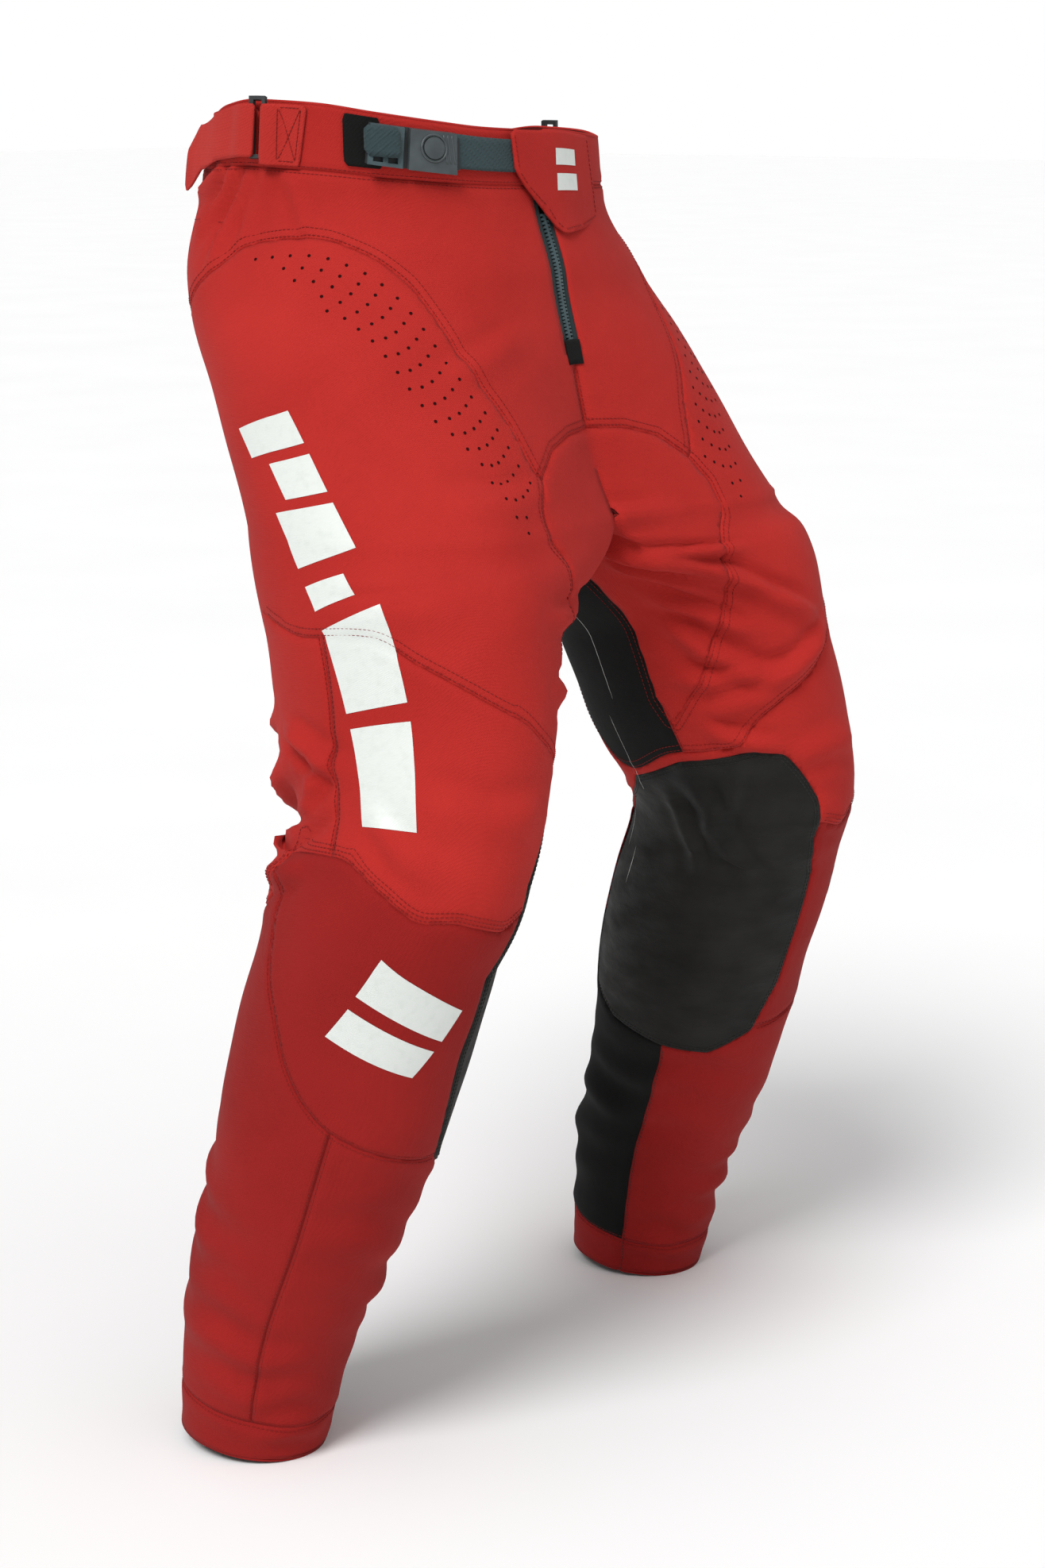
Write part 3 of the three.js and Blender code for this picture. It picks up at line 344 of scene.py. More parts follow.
# Folds, seam channels and the cut-out grid
foldShape = {
    # points as (angle, level), then width in mm, height in mm
    "both": [
        ([(98, 0.11), (112, 0.2), (134, 0.3)], 6, 2.2),
        ([(90, 0.13), (100, 0.21), (112, 0.35)], 6, 2.4),
        ([(83, 0.13), (92, 0.22), (96, 0.3)], 5, 1.8),
        ([(105, 0.12), (130, 0.17), (150, 0.2)], 6, 2.0),
        ([(75, 0.14), (70, 0.2), (62, 0.27)], 6, 1.2),
        ([(120, 1.21), (100, 1.25), (86, 1.27)], 8, 3.4),
        ([(132, 1.3), (112, 1.29), (96, 1.26)], 8, 3.6),
        ([(160, 1.33), (128, 1.32), (92, 1.29)], 8, 3.4),
        ([(190, 1.28), (160, 1.27), (130, 1.25)], 9, 4.0),
        ([(205, 1.33), (175, 1.34), (140, 1.36)], 8, 3.4),
        ([(200, 1.21), (165, 1.2), (140, 1.19)], 9, 3.0),
        ([(150, 1.39), (125, 1.38), (105, 1.36)], 7, 2.6),
        ([(75, 1.3), (58, 1.33), (40, 1.34)], 7, 1.6),
        ([(205, 0.93), (180, 0.98), (150, 0.99)], 9, 2.2),
        ([(215, 0.97), (190, 1.03), (165, 1.06)], 9, 2.6),
    ],
    "left": [
        ([(-80, 1.03), (-58, 1.04), (-34, 1.06), (-20, 1.07)], 6, 3.0),
        ([(-70, 1.05), (-56, 1.075), (-46, 1.1)], 5, 2.6),
        ([(-64, 1.03), (-40, 1.075), (-20, 1.13), (8, 1.17)], 7, 3.6),
        ([(-68, 1.09), (-50, 1.13), (-32, 1.16)], 6, 2.8),
        ([(-69, 1.12), (-56, 1.165), (-34, 1.2)], 7, 3.0),
        ([(-76, 1.18), (-56, 1.195), (-18, 1.205)], 7, 2.8),
        ([(-68, 1.22), (-38, 1.22), (0, 1.195), (18, 1.18)], 8, 2.6),
        ([(-69, 1.235), (-52, 1.26), (-39, 1.275)], 6, 2.4),
        ([(-85, 1.0), (-60, 1.0), (-30, 1.0)], 7, 2.4),
        ([(8, 1.36), (-14, 1.35), (-34, 1.34)], 7, 1.6),
        ([(20, 1.31), (0, 1.3), (-32, 1.29)], 8, 1.8),
        ([(-86, 1.28), (-74, 1.35), (-42, 1.43)], 9, 2.2),
        ([(-99, 1.31), (-84, 1.38), (-76, 1.44)], 7, 2.0),
        ([(-60, 1.28), (-66, 1.33), (-80, 1.36)], 7, 1.8),
    ],
    "right": [
        ([(-24, 0.52), (-4, 0.58), (15, 0.62)], 9, 1.2),
        ([(-20, 0.9), (0, 0.92), (30, 0.9)], 10, 1.2),
        ([(30, 1.1), (60, 1.1), (90, 1.1)], 12, 1.2),
        ([(-60, 1.08), (-40, 1.1), (-15, 1.11)], 7, 2.2),
        ([(-70, 1.15), (-45, 1.17), (-20, 1.17)], 7, 2.2),
        ([(-20, 1.28), (20, 1.3), (54, 1.29)], 10, 1.6),
    ],
    "strength": 2.3,
    "seamDepth": 1.1,
    "seamWidth": 1.7,
    "seamSwell": 0.5,
}
gridShape = {"trunkRows": 72, "legRows": 172, "trunkColumns": 108, "legColumns": 144}


def strokeDistance(stroke, level, angle):
    # Signed distance across a fold and the share along it, in millimetres.
    points = np.array([(a, downOf(l) * 1000) for a, l in stroke])
    middle = points[:, 0].mean()
    x, y = near(angle, middle) * mmPerDegree, downOf(level) * 1000
    points[:, 0] *= mmPerDegree
    best, across, along = np.full(x.shape, 1e9), np.zeros(x.shape), np.zeros(x.shape)
    lengths = np.linalg.norm(np.diff(points, axis=0), axis=1)
    start = 0
    for a, b, length in zip(points, points[1:], lengths):
        dx, dy = (b - a) / length
        run = (x - a[0]) * dx + (y - a[1]) * dy
        t = np.clip(run, 0, length)
        away = np.hypot(x - a[0] - t * dx, y - a[1] - t * dy)
        side = (x - a[0]) * dy - (y - a[1]) * dx
        closer = away < best
        best = np.where(closer, away, best)
        across = np.where(closer, np.sign(side) * away, across)
        along = np.where(closer, (start + t) / lengths.sum(), along)
        start += length
    return across, along


def foldHeight(side, level, angle):
    height = np.zeros(np.shape(level))
    for stroke, width, size in foldShape["both"] + foldShape[side]:
        across, along = strokeDistance(stroke, level, angle)
        ends = np.clip(np.minimum(along, 1 - along) * 4 + 0.15, 0, 1)
        ridge = np.exp(-np.abs(across / width) ** 1.5)
        ridge -= 0.7 * np.exp(-((across - 1.5 * width) / (0.6 * width)) ** 2)
        ridge -= 0.35 * np.exp(-((across + 1.7 * width) / (0.8 * width)) ** 2)
        height += foldShape["strength"] * size * ridge * ends
    # cloth bunched in rings above the ankle
    around = np.radians(angle)
    drop = downOf(level) * 1000
    phase = {"right": 0.0, "left": 2.1}[side]
    wander = 9 * np.sin(around + phase) + 7 * np.sin(2 * around + 1.3 + phase) + 4 * np.sin(5 * around)
    gather = smooth((drop - 700) / 90) * smooth((985 - drop) / 40)
    patchy = 0.55 + 0.45 * np.sin(around * 2 + drop / 37 + phase)
    wave = np.sin((drop + wander) / 5.6) + 0.6 * np.sin((drop - 0.8 * wander) / 8.7 + 1)
    height += gather * patchy * 2.1 * wave
    # slow unevenness everywhere
    height += 0.7 * np.sin(drop / 31 + 3 * around + phase) * np.sin(2 * around + drop / 53)
    height += 0.35 * np.sin(drop / 13 - 4 * around) * smooth((drop - 60) / 80)
    return height / 1000


def seamTrack(name):
    # Closely spaced (level, angle) points along a named seam.
    shape = seamShape[name]
    if name in ("gusset", "grip"):
        corner = np.array(shape + shape[:1], float)
        steps = [np.linspace(a, b, 24, endpoint=False) for a, b in zip(corner, corner[1:])]
        track = np.concatenate(steps)
        return track[:, 1], track[:, 0]
    first, last = shape[0][0], shape[-1][0]
    angle = np.linspace(first, last, int(abs(last - first) * 1.2))
    return curveThrough(shape)(angle), angle


def upright(angle, top, bottom):
    level = np.linspace(top, bottom, 160)
    return level, np.full(level.shape, float(angle))


seamTracks = {name: seamTrack(name)
              for name in ("hipArc", "aboveKnee", "belowKnee", "kneeHem", "gusset", "grip")}
seamTracks.update({
    "band": (np.full(300, seamShape["band"]), np.linspace(-45, 225, 300)),
    "cuff": (np.full(400, seamShape["cuff"]), np.linspace(-135, 225, 400)),
    "innerFront": upright(-82, 1.02, 1.26),
    "innerBack": upright(-162, 1.06, 1.2),
    "calfFront": upright(-72, 1.65, 2),
    "calfBack": upright(-162, 1.58, 2),
    "kneeSide": upright(90, 1.113, 1.337),
    "shin": upright(55, 1.592, 1.95),
    "sideBack": upright(150, 0.49, 1.07),
    "sideTop": upright(150, 0.135, 0.49),
    "centreBack": upright(225, 0.0, 0.88),
    "centreFront": upright(-45, 0.62, 0.76),
})
# Where a seam is covered by another panel it isn't sewn: (seam, field, sign that hides it)
seamHidden = {
    "hipArc": [("gusset", 1)],
    "aboveKnee": [("grip", 1)],
    "belowKnee": [("grip", 1), ("kneeCapSpan", -1)],
    "kneeHem": [("grip", 1)],
    "calfFront": [("grip", 1)],
    "calfBack": [("grip", 1)],
    "innerFront": [("gusset", 1)],
    "innerBack": [("gusset", 1)],
    "sideBack": [("gusset", 1)],
}
fields["kneeCapSpan"] = between(-240, 130)


def shownTrack(side, name, margin=0.0):
    level, angle = seamTracks[name]
    point = bodyPoint(side, level, angle)
    keep = np.ones(len(level), bool)
    for field, sign in seamHidden.get(name, []):
        keep &= fields[field](level, angle, point) * sign < margin
    return level, angle, keep


seamTrees = {}
for side in sideSign:
    points = []
    for name in seamTracks:
        level, angle, keep = shownTrack(side, name)
        points.append(bodyPoint(side, level, angle)[keep])
    points = np.concatenate(points)
    seamTrees[side] = KDTree(len(points))
    for i, point in enumerate(points):
        seamTrees[side].insert(point, i)
    seamTrees[side].balance()


def clothPoint(side, level, angle, lift=0.0, plain=False):
    # The finished outer face of the cloth, with its folds and seam channels unless it is plain.
    level, angle = np.atleast_1d(np.asarray(level, float)), np.atleast_1d(np.asarray(angle, float))
    point = bodyPoint(side, level, angle)
    if callable(lift):
        lift = lift(sideSign[side] * (angle - centreFront), level)
    if plain:
        return point + bodyNormal(side, level, angle) * np.broadcast_to(lift, level.shape)[:, None]
    away = np.array([seamTrees[side].find(p)[2] for p in point]) * 1000
    width = foldShape["seamWidth"]
    channel = foldShape["seamSwell"] * np.exp(-(((away - 6.5) / 3.5) ** 2))
    channel -= foldShape["seamDepth"] * np.exp(-((away / width) ** 2))
    fold = foldHeight(side, level, angle)
    # the folds die out at the waist, the hem and the centre line
    drop = downOf(level)
    fold = fold * smooth(drop / 0.03) * smooth((0.974 - drop) / 0.02)
    fold = fold * np.where(drop < 0.25, smooth(np.abs(point[:, 0]) / 0.03), 1)
    normal = bodyNormal(side, level, angle)
    return point + normal * (fold + channel / 1000 + lift)[:, None]


def bodyGrid():
    # The corners of the grid as rows of (level, angle), and its four-sided faces.
    corners, faces = [], []
    for levels, angles in (
        (np.linspace(0, 1, gridShape["trunkRows"] + 1),
         np.linspace(centreFront, centreBack, gridShape["trunkColumns"] + 1)),
        (np.linspace(1, 2, gridShape["legRows"] + 1),
         np.linspace(-135, centreBack, gridShape["legColumns"] + 1)),
    ):
        start = sum(len(c) for c in corners)
        level, angle = np.meshgrid(levels, angles, indexing="ij")
        corners.append(np.stack([level.ravel(), angle.ravel()], -1))
        count = len(angles)
        for row in range(len(levels) - 1):
            for col in range(count - 1):
                a = start + row * count + col
                faces.append((a, a + count, a + count + 1, a + 1))
    return np.concatenate(corners), np.array(faces)


gridCorners, gridFaces = bodyGrid()


def cutPolygon(polygon, index, sign):
    kept = []
    for here, after in zip(polygon, polygon[1:] + polygon[:1]):
        a, b = here[index] * sign, after[index] * sign
        if a >= 0:
            kept.append(here)
        if (a < 0) != (b < 0):
            kept.append(here + (after - here) * (a / (a - b)))
    return kept


def cutPanel(side, rule, extra=None):
    # Cuts the grid down to the faces that obey the rule, with clean edges along every seam.
    names = rule.split()
    local = dict(fields)
    local.update(extra or {})
    level, angle = gridCorners.T
    point = bodyPoint(side, level, angle)
    values = np.stack([local[name[1:]](level, angle, point) for name in names], -1)
    values[np.abs(values) < 1e-3] = 1e-3
    signs = np.array([1 if name[0] == "+" else -1 for name in names])
    good = values * signs >= 0
    whole = good[gridFaces].all(axis=1).all(axis=1)
    partly = good[gridFaces].any(axis=1).all(axis=1) & ~whole
    rows = np.concatenate([gridCorners, values], 1)
    polygons = [[rows[i] for i in face] for face in gridFaces[whole]]
    for face in gridFaces[partly]:
        polygon = [rows[i] for i in face]
        for k in range(len(names)):
            if len(polygon) > 2:
                polygon = cutPolygon(polygon, 2 + k, signs[k])
        if len(polygon) > 2:
            polygons.append(polygon)
    corners = np.array([corner[:2] for polygon in polygons for corner in polygon])
    sizes = [len(polygon) for polygon in polygons]
    return corners, sizes


def newMesh(name, vertices, faces, material):
    mesh = bpy.data.meshes.new(name)
    mesh.from_pydata([tuple(map(float, v)) for v in vertices], [], [tuple(map(int, f)) for f in faces])
    mesh.validate()
    piece = bpy.data.objects.new(name, mesh)
    bpy.context.scene.collection.objects.link(piece)
    mesh.materials.append(material)
    mesh.shade_smooth()
    return piece


def weld(points, sizes):
    keys = np.round(points * 1e5).astype(np.int64)
    _, first, inverse = np.unique(keys, axis=0, return_index=True, return_inverse=True)
    inverse = inverse.ravel()
    faces, start = [], 0
    for size in sizes:
        face = list(dict.fromkeys(inverse[start:start + size]))
        start += size
        if len(face) > 2:
            faces.append(face)
    return first, faces


def panelMesh(name, sides, rule, material, lift=0.0, plain=False, extra=None):
    allPoints, allSizes = [], []
    for side in sides:
        corners, sizes = cutPanel(side, rule, extra)
        rough = np.round(corners, 6)
        unique, inverse = np.unique(rough, axis=0, return_inverse=True)
        placed = clothPoint(side, unique[:, 0], unique[:, 1], lift, plain)[inverse.ravel()]
        if side == "right":
            # keep the faces turned outward on the mirrored side
            order, start = [], 0
            for size in sizes:
                order.extend(range(start + size - 1, start - 1, -1))
                start += size
            placed = placed[order]
        allPoints.append(placed)
        allSizes.extend(sizes)
    points = np.concatenate(allPoints)
    first, faces = weld(points, allSizes)
    piece = newMesh(name, points[first], faces, material)
    soft = bmesh.new()
    soft.from_mesh(piece.data)
    bmesh.ops.remove_doubles(soft, verts=soft.verts, dist=4e-5)
    soft.to_mesh(piece.data)
    soft.free()
    return piece


# Finishes
def makeMaterial(name, roughness):
    material = bpy.data.materials.new(name)
    material.use_nodes = True
    nodes, links = material.node_tree.nodes, material.node_tree.links
    shader = nodes["Principled BSDF"]
    shader.inputs["Roughness"].default_value = roughness
    place = nodes.new("ShaderNodeTexCoord")
    return material, nodes, links, shader, place


def addNoise(nodes, links, place, scale, detail=3.0, stretch=(1, 1, 1)):
    mapping = nodes.new("ShaderNodeMapping")
    mapping.inputs["Scale"].default_value = stretch
    links.new(place.outputs["Object"], mapping.inputs["Vector"])
    noise = nodes.new("ShaderNodeTexNoise")
    noise.inputs["Scale"].default_value = scale
    noise.inputs["Detail"].default_value = detail
    links.new(mapping.outputs["Vector"], noise.inputs["Vector"])
    return noise.outputs["Fac"]


def addRamp(nodes, links, value, dark, light, low=0.3, high=0.7):
    ramp = nodes.new("ShaderNodeValToRGB")
    ramp.color_ramp.elements[0].position = low
    ramp.color_ramp.elements[0].color = (*dark, 1)
    ramp.color_ramp.elements[1].position = high
    ramp.color_ramp.elements[1].color = (*light, 1)
    links.new(value, ramp.inputs["Fac"])
    return ramp.outputs["Color"]


def addThreads(nodes, links, place, count, stretch, turn):
    # One set of parallel yarns, count to the metre.
    mapping = nodes.new("ShaderNodeMapping")
    mapping.inputs["Rotation"].default_value = turn
    mapping.inputs["Scale"].default_value = stretch
    links.new(place.outputs["Object"], mapping.inputs["Vector"])
    wave = nodes.new("ShaderNodeTexWave")
    wave.wave_type = "BANDS"
    wave.bands_direction = "Z"
    wave.inputs["Scale"].default_value = count
    wave.inputs["Distortion"].default_value = 0.6
    wave.inputs["Detail"].default_value = 1.0
    links.new(mapping.outputs["Vector"], wave.inputs["Vector"])
    return wave.outputs["Fac"]


def mixValues(nodes, links, first, second, kind="MULTIPLY"):
    mix = nodes.new("ShaderNodeMath")
    mix.operation = kind
    links.new(first, mix.inputs[0])
    if isinstance(second, float):
        mix.inputs[1].default_value = second
    else:
        links.new(second, mix.inputs[1])
    return mix.outputs["Value"]


def addBump(nodes, links, shader, height, strength, distance, before=None):
    bump = nodes.new("ShaderNodeBump")
    bump.inputs["Strength"].default_value = strength
    bump.inputs["Distance"].default_value = distance
    links.new(height, bump.inputs["Height"])
    if before is not None:
        links.new(before, bump.inputs["Normal"])
    links.new(bump.outputs["Normal"], shader.inputs["Normal"])
    return bump.outputs["Normal"]


clothFinish = {
    # dark colour, light colour, roughness, sheen, yarns per metre, bump strength
    "redCloth": ((0.35, 0.016, 0.013), (0.44, 0.024, 0.019), 0.85, 0.02, 280, 0.45),
    # the red cloth again, painted darker as painted shade on the lower legs, which face down away from the
    # light
    "redClothPaintedShade": ((0.22, 0.009, 0.008), (0.3, 0.014, 0.012), 0.85, 0.02, 280, 0.45),
    "redStrap": ((0.37, 0.02, 0.016), (0.47, 0.03, 0.023), 0.82, 0.03, 210, 0.6),
    "blackCloth": ((0.005, 0.005, 0.0048), (0.01, 0.01, 0.0095), 0.88, 0.01, 280, 0.4),
    "zipTape": ((0.014, 0.024, 0.026), (0.024, 0.038, 0.041), 0.8, 0.05, 280, 0.4),
    "liningCloth": ((0.09, 0.007, 0.006), (0.14, 0.012, 0.01), 0.9, 0.03, 220, 0.3),
    "webbingCloth": ((0.02, 0.036, 0.04), (0.042, 0.066, 0.072), 0.72, 0.08, 120, 0.9),
    "threadRed": ((0.17, 0.008, 0.007), (0.26, 0.014, 0.011), 0.7, 0.05, 600, 0.2),
    "threadBlack": ((0.012, 0.012, 0.011), (0.026, 0.026, 0.024), 0.7, 0.05, 600, 0.2),
    # the air holes: the dark lining behind them, painted darker still as painted shade inside the holes
    "holeLiningAndPaintedShade": ((0.012, 0.001, 0.001), (0.03, 0.002, 0.002), 0.95, 0.0, 600, 0.1),
}


def makeCloth(name):
    dark, light, roughness, sheen, yarns, strength = clothFinish[name]
    material, nodes, links, shader, place = makeMaterial(name, roughness)
    blotch = addNoise(nodes, links, place, 9.0, 5.0)
    fibre = addNoise(nodes, links, place, 900.0, 2.0)
    tone = mixValues(nodes, links, mixValues(nodes, links, blotch, 0.7),
                     mixValues(nodes, links, fibre, 0.3), "ADD")
    links.new(addRamp(nodes, links, tone, dark, light), shader.inputs["Base Color"])
    shader.inputs["Sheen Weight"].default_value = sheen
    shader.inputs["Sheen Roughness"].default_value = 0.5
    shader.inputs["Specular IOR Level"].default_value = 0.12
    warp = addThreads(nodes, links, place, yarns, (1, 1, 1), (0.35, 0.62, 0))
    weft = addThreads(nodes, links, place, yarns, (1, 1, 1), (1.25, -0.5, 0.4))
    weave = mixValues(nodes, links, warp, weft)
    first = addBump(nodes, links, shader, weave, strength, 0.0004)
    pucker = addNoise(nodes, links, place, 70.0, 4.0)
    addBump(nodes, links, shader, pucker, 0.16, 0.004, first)
    return material


def makeLeather(name):
    material, nodes, links, shader, place = makeMaterial(name, 0.58)
    blotch = addNoise(nodes, links, place, 14.0, 6.0)
    links.new(addRamp(nodes, links, blotch, (0.0035, 0.0034, 0.0029), (0.01, 0.0096, 0.008)),
              shader.inputs["Base Color"])
    grain = nodes.new("ShaderNodeTexVoronoi")
    grain.inputs["Scale"].default_value = 900.0
    links.new(place.outputs["Object"], grain.inputs["Vector"])
    first = addBump(nodes, links, shader, grain.outputs["Distance"], 0.3, 0.0004)
    crease = addNoise(nodes, links, place, 26.0, 8.0, (1, 1, 2.2))
    addBump(nodes, links, shader, crease, 0.35, 0.006, first)
    rough = addRamp(nodes, links, crease, (0.55,) * 3, (0.8,) * 3)
    links.new(rough, shader.inputs["Roughness"])
    shader.inputs["Specular IOR Level"].default_value = 0.22
    shader.inputs["Sheen Weight"].default_value = 0.02
    return material


def makePrint(name, dark, light):
    # A thin rubbery transfer that lets a little of the weave show.
    material, nodes, links, shader, place = makeMaterial(name, 0.5)
    wear = addNoise(nodes, links, place, 160.0, 5.0)
    links.new(addRamp(nodes, links, wear, dark, light, 0.1, 0.5), shader.inputs["Base Color"])
    weave = addThreads(nodes, links, place, 280, (1, 1, 1), (0.35, 0.62, 0))
    addBump(nodes, links, shader, weave, 0.2, 0.0003)
    return material


def makePlastic(name, dark, light, roughness):
    material, nodes, links, shader, place = makeMaterial(name, roughness)
    cloud = addNoise(nodes, links, place, 60.0, 3.0)
    links.new(addRamp(nodes, links, cloud, dark, light), shader.inputs["Base Color"])
    spark = addNoise(nodes, links, place, 1800.0, 2.0)
    addBump(nodes, links, shader, spark, 0.25, 0.0003)
    return material


def makeMetal(name):
    material, nodes, links, shader, place = makeMaterial(name, 0.35)
    shader.inputs["Metallic"].default_value = 1.0
    cloud = addNoise(nodes, links, place, 300.0, 4.0)
    links.new(addRamp(nodes, links, cloud, (0.1, 0.1, 0.1), (0.2, 0.2, 0.2)),
              shader.inputs["Base Color"])
    addBump(nodes, links, shader, cloud, 0.1, 0.0003)
    return material


finishes = {name: makeCloth(name) for name in clothFinish}
finishes.update({
    "gripLeather": makeLeather("gripLeather"),
    "whitePrint": makePrint("whitePrint", (0.58, 0.61, 0.58), (0.66, 0.69, 0.66)),
    "blackPlastic": makePlastic("blackPlastic", (0.016, 0.018, 0.019), (0.03, 0.034, 0.036), 0.45),
    "greyPlastic": makePlastic("greyPlastic", (0.035, 0.044, 0.047), (0.062, 0.076, 0.08), 0.42),
    "tealPlastic": makePlastic("tealPlastic", (0.035, 0.06, 0.068), (0.06, 0.095, 0.105), 0.4),
    "zipMetal": makeMetal("zipMetal"),
})
print("finishes made")


def followKnee(piece):
    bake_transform(piece)


aboveKnees = ("waistband", "front_panel", "rear_yoke", "crotch_gusset")


def thicken(piece, depth):
    wall = piece.modifiers.new("thickness", "SOLIDIFY")
    wall.thickness = depth
    wall.offset = -1


# The sewn panels
for name, (finish, rule) in panels.items():
    groups = [("", ["right", "left"])] if name == "crotch_gusset" else [
        (f"_{side}", [side]) for side in sideSign]
    for ending, sides in groups:
        piece = panelMesh(f"cloth_{name}{ending}", sides, rule, finishes[finish])
        thicken(piece, 0.0011)
        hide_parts(name + ending)
        if name in aboveKnees:
            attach(piece, "trousers")
        else:
            followKnee(piece)
print("panels sewn")

# Linings and turned edges
def sweepTube(name, centres, radius, material, sides=8, closed=False):
    centres = np.array(centres)
    ahead = np.roll(centres, -1, 0) - np.roll(centres, 1, 0)
    if not closed:
        ahead[0], ahead[-1] = centres[1] - centres[0], centres[-1] - centres[-2]
    ahead /= np.linalg.norm(ahead, axis=1, keepdims=True)
    out = np.cross(ahead, [0, 0, 1.0])
    out /= np.linalg.norm(out, axis=1, keepdims=True)
    over = np.cross(out, ahead)
    turn = np.linspace(0, 2 * np.pi, sides, endpoint=False)
    rings = (centres[:, None] + radius * (np.cos(turn)[None, :, None] * out[:, None]
                                          + np.sin(turn)[None, :, None] * over[:, None]))
    count = len(centres)
    faces = []
    for i in range(count if closed else count - 1):
        for j in range(sides):
            here, there = i * sides, (i + 1) % count * sides
            faces.append((here + j, here + (j + 1) % sides, there + (j + 1) % sides, there + j))
    if not closed:
        faces += [tuple(range(sides))[::-1], tuple(range((count - 1) * sides, count * sides))]
    return newMesh(name, rings.reshape(-1, 3), faces, material)


def turnField(points):
    # Inside an outline drawn in (degrees left of the fly, level).
    inside = insideOutline(points)

    def field(level, angle, point):
        turn = np.where(point[:, 0] < 0, -1, 1) * (angle - centreFront)
        return inside(level, near(turn, sum(p[0] for p in points) / len(points)), point)
    return field


def onWaist(angle):
    return (np.asarray(angle) >= centreFront) & (np.asarray(angle) <= centreBack)


edgeShape = {"liningDepth": -0.0026, "rimRadius": 0.0013, "hemRadius": 0.0011}
fields["all"] = lambda level, angle, point: np.full(len(level), 1000.0)
for side in sideSign:
    lining = panelMesh(f"lining_{side}", [side], "+all +fly", finishes["liningCloth"],
                       edgeShape["liningDepth"])
    followKnee(lining)
    angle = np.linspace(-135, 225, 160, endpoint=False)
    # the hem edge takes the same red cloth painted darker, as painted shade
    hem = sweepTube(f"hem_edge_{side}",
                    clothPoint(side, np.full(160, 1.9995), angle, -0.001),
                    edgeShape["hemRadius"], finishes["redClothPaintedShade"], closed=True)
    followKnee(hem)

rimTurns = np.concatenate([np.linspace(5.6, 270, 150), np.linspace(-270, -5.6, 150)[1:]])
rim = [clothPoint("left" if turn > 0 else "right", 0.0005, abs(turn) + centreFront, -0.001)[0]
       for turn in rimTurns]
waistEdge = sweepTube("waist_edge", rim, edgeShape["rimRadius"], finishes["redCloth"])
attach(waistEdge, "trousers")
print("linings and edges turned")

# Stitching
stitchShape = {"pitch": 3.5, "length": 2.6, "radius": 0.00032, "lift": 0.0001}
# seam: rows, as millimetres from the seam (down, or towards higher angles, or outwards)
stitchRows = {
    "hipArc": (-2.2, -7.5), "aboveKnee": (-2.2, -7.0), "belowKnee": (-2.2, -5.2, -8.2),
    "kneeHem": (-2.4, 2.4), "gusset": (2.4, 7.0), "grip": (-2.6, -5.2), "band": (-2.2, 2.4),
    "cuff": (-2.4, 2.4), "innerFront": (2.2,), "calfFront": (2.2,),
    "calfBack": (-2.2,), "kneeSide": (-2.0, 2.0), "shin": (-2.0, 2.0), "sideBack": (2.2,),
    "sideTop": (-2.0, 2.0), "centreBack": (-2.4,), "centreFront": (2.0,),
}


def offsetTrack(side, level, angle, away, outward=None):
    # Moves (level, angle) points sideways over the body by so many millimetres.
    point = bodyPoint(side, level, angle)
    along = np.gradient(point, axis=0)
    normal = bodyNormal(side, level, angle)
    small = 1e-3
    perLevel = (bodyPoint(side, level + small, angle) - point) / small
    perAngle = bodyPoint(side, level, angle + 0.1) - point
    perAngle /= 0.1
    across = np.cross(normal, along)
    across /= np.maximum(np.linalg.norm(across, axis=1, keepdims=True), 1e-9)
    if outward is not None:
        lean = outward
    else:
        flat = np.ptp(near(angle, angle.mean())) > 20
        lean = (across * (perLevel if flat else perAngle)).sum(1)
    across *= np.sign(lean)[:, None] * away / 1000
    a, b, c = (perLevel**2).sum(1), (perLevel * perAngle).sum(1), (perAngle**2).sum(1)
    u, v = (perLevel * across).sum(1), (perAngle * across).sum(1)
    det = np.maximum(a * c - b * b, 1e-12)
    return level + (c * u - b * v) / det, angle + (a * v - b * u) / det


def outlineLean(side, level, angle):
    # +1 where the offset direction points out of the outline.
    point = bodyPoint(side, level, angle)
    along, normal = np.gradient(point, axis=0), bodyNormal(side, level, angle)
    across = np.cross(normal, along)
    across /= np.maximum(np.linalg.norm(across, axis=1, keepdims=True), 1e-9)
    middle = bodyPoint(side, np.full(1, np.mean(level)), np.full(1, np.mean(angle)))
    return (across * (point - middle)).sum(1)


def stitchMesh(name, runs, material):
    # Each run is (start points, end points, normals).
    radius = stitchShape["radius"]
    vertices, faces = [], []
    for starts, ends, normals in runs:
        for a, b, normal in zip(starts, ends, normals):
            ahead = (b - a) / max(np.linalg.norm(b - a), 1e-9)
            side = np.cross(ahead, normal)
            base = len(vertices)
            for spot, size in ((a, 0.45), (a + (b - a) * 0.25, 1), (a + (b - a) * 0.75, 1), (b, 0.45)):
                for turn in (0, 1, 2, 3):
                    over = math.sin(turn * math.pi / 2) * size
                    wide = math.cos(turn * math.pi / 2) * size
                    vertices.append(spot + side * wide * radius + normal * over * radius)
            for ring in range(3):
                for k in range(4):
                    low = base + ring * 4
                    faces.append((low + k, low + (k + 1) % 4, low + 4 + (k + 1) % 4, low + 4 + k))
            faces += [(base + 3, base + 2, base + 1, base), (base + 12, base + 13, base + 14, base + 15)]
    return newMesh(name, vertices, faces, material)


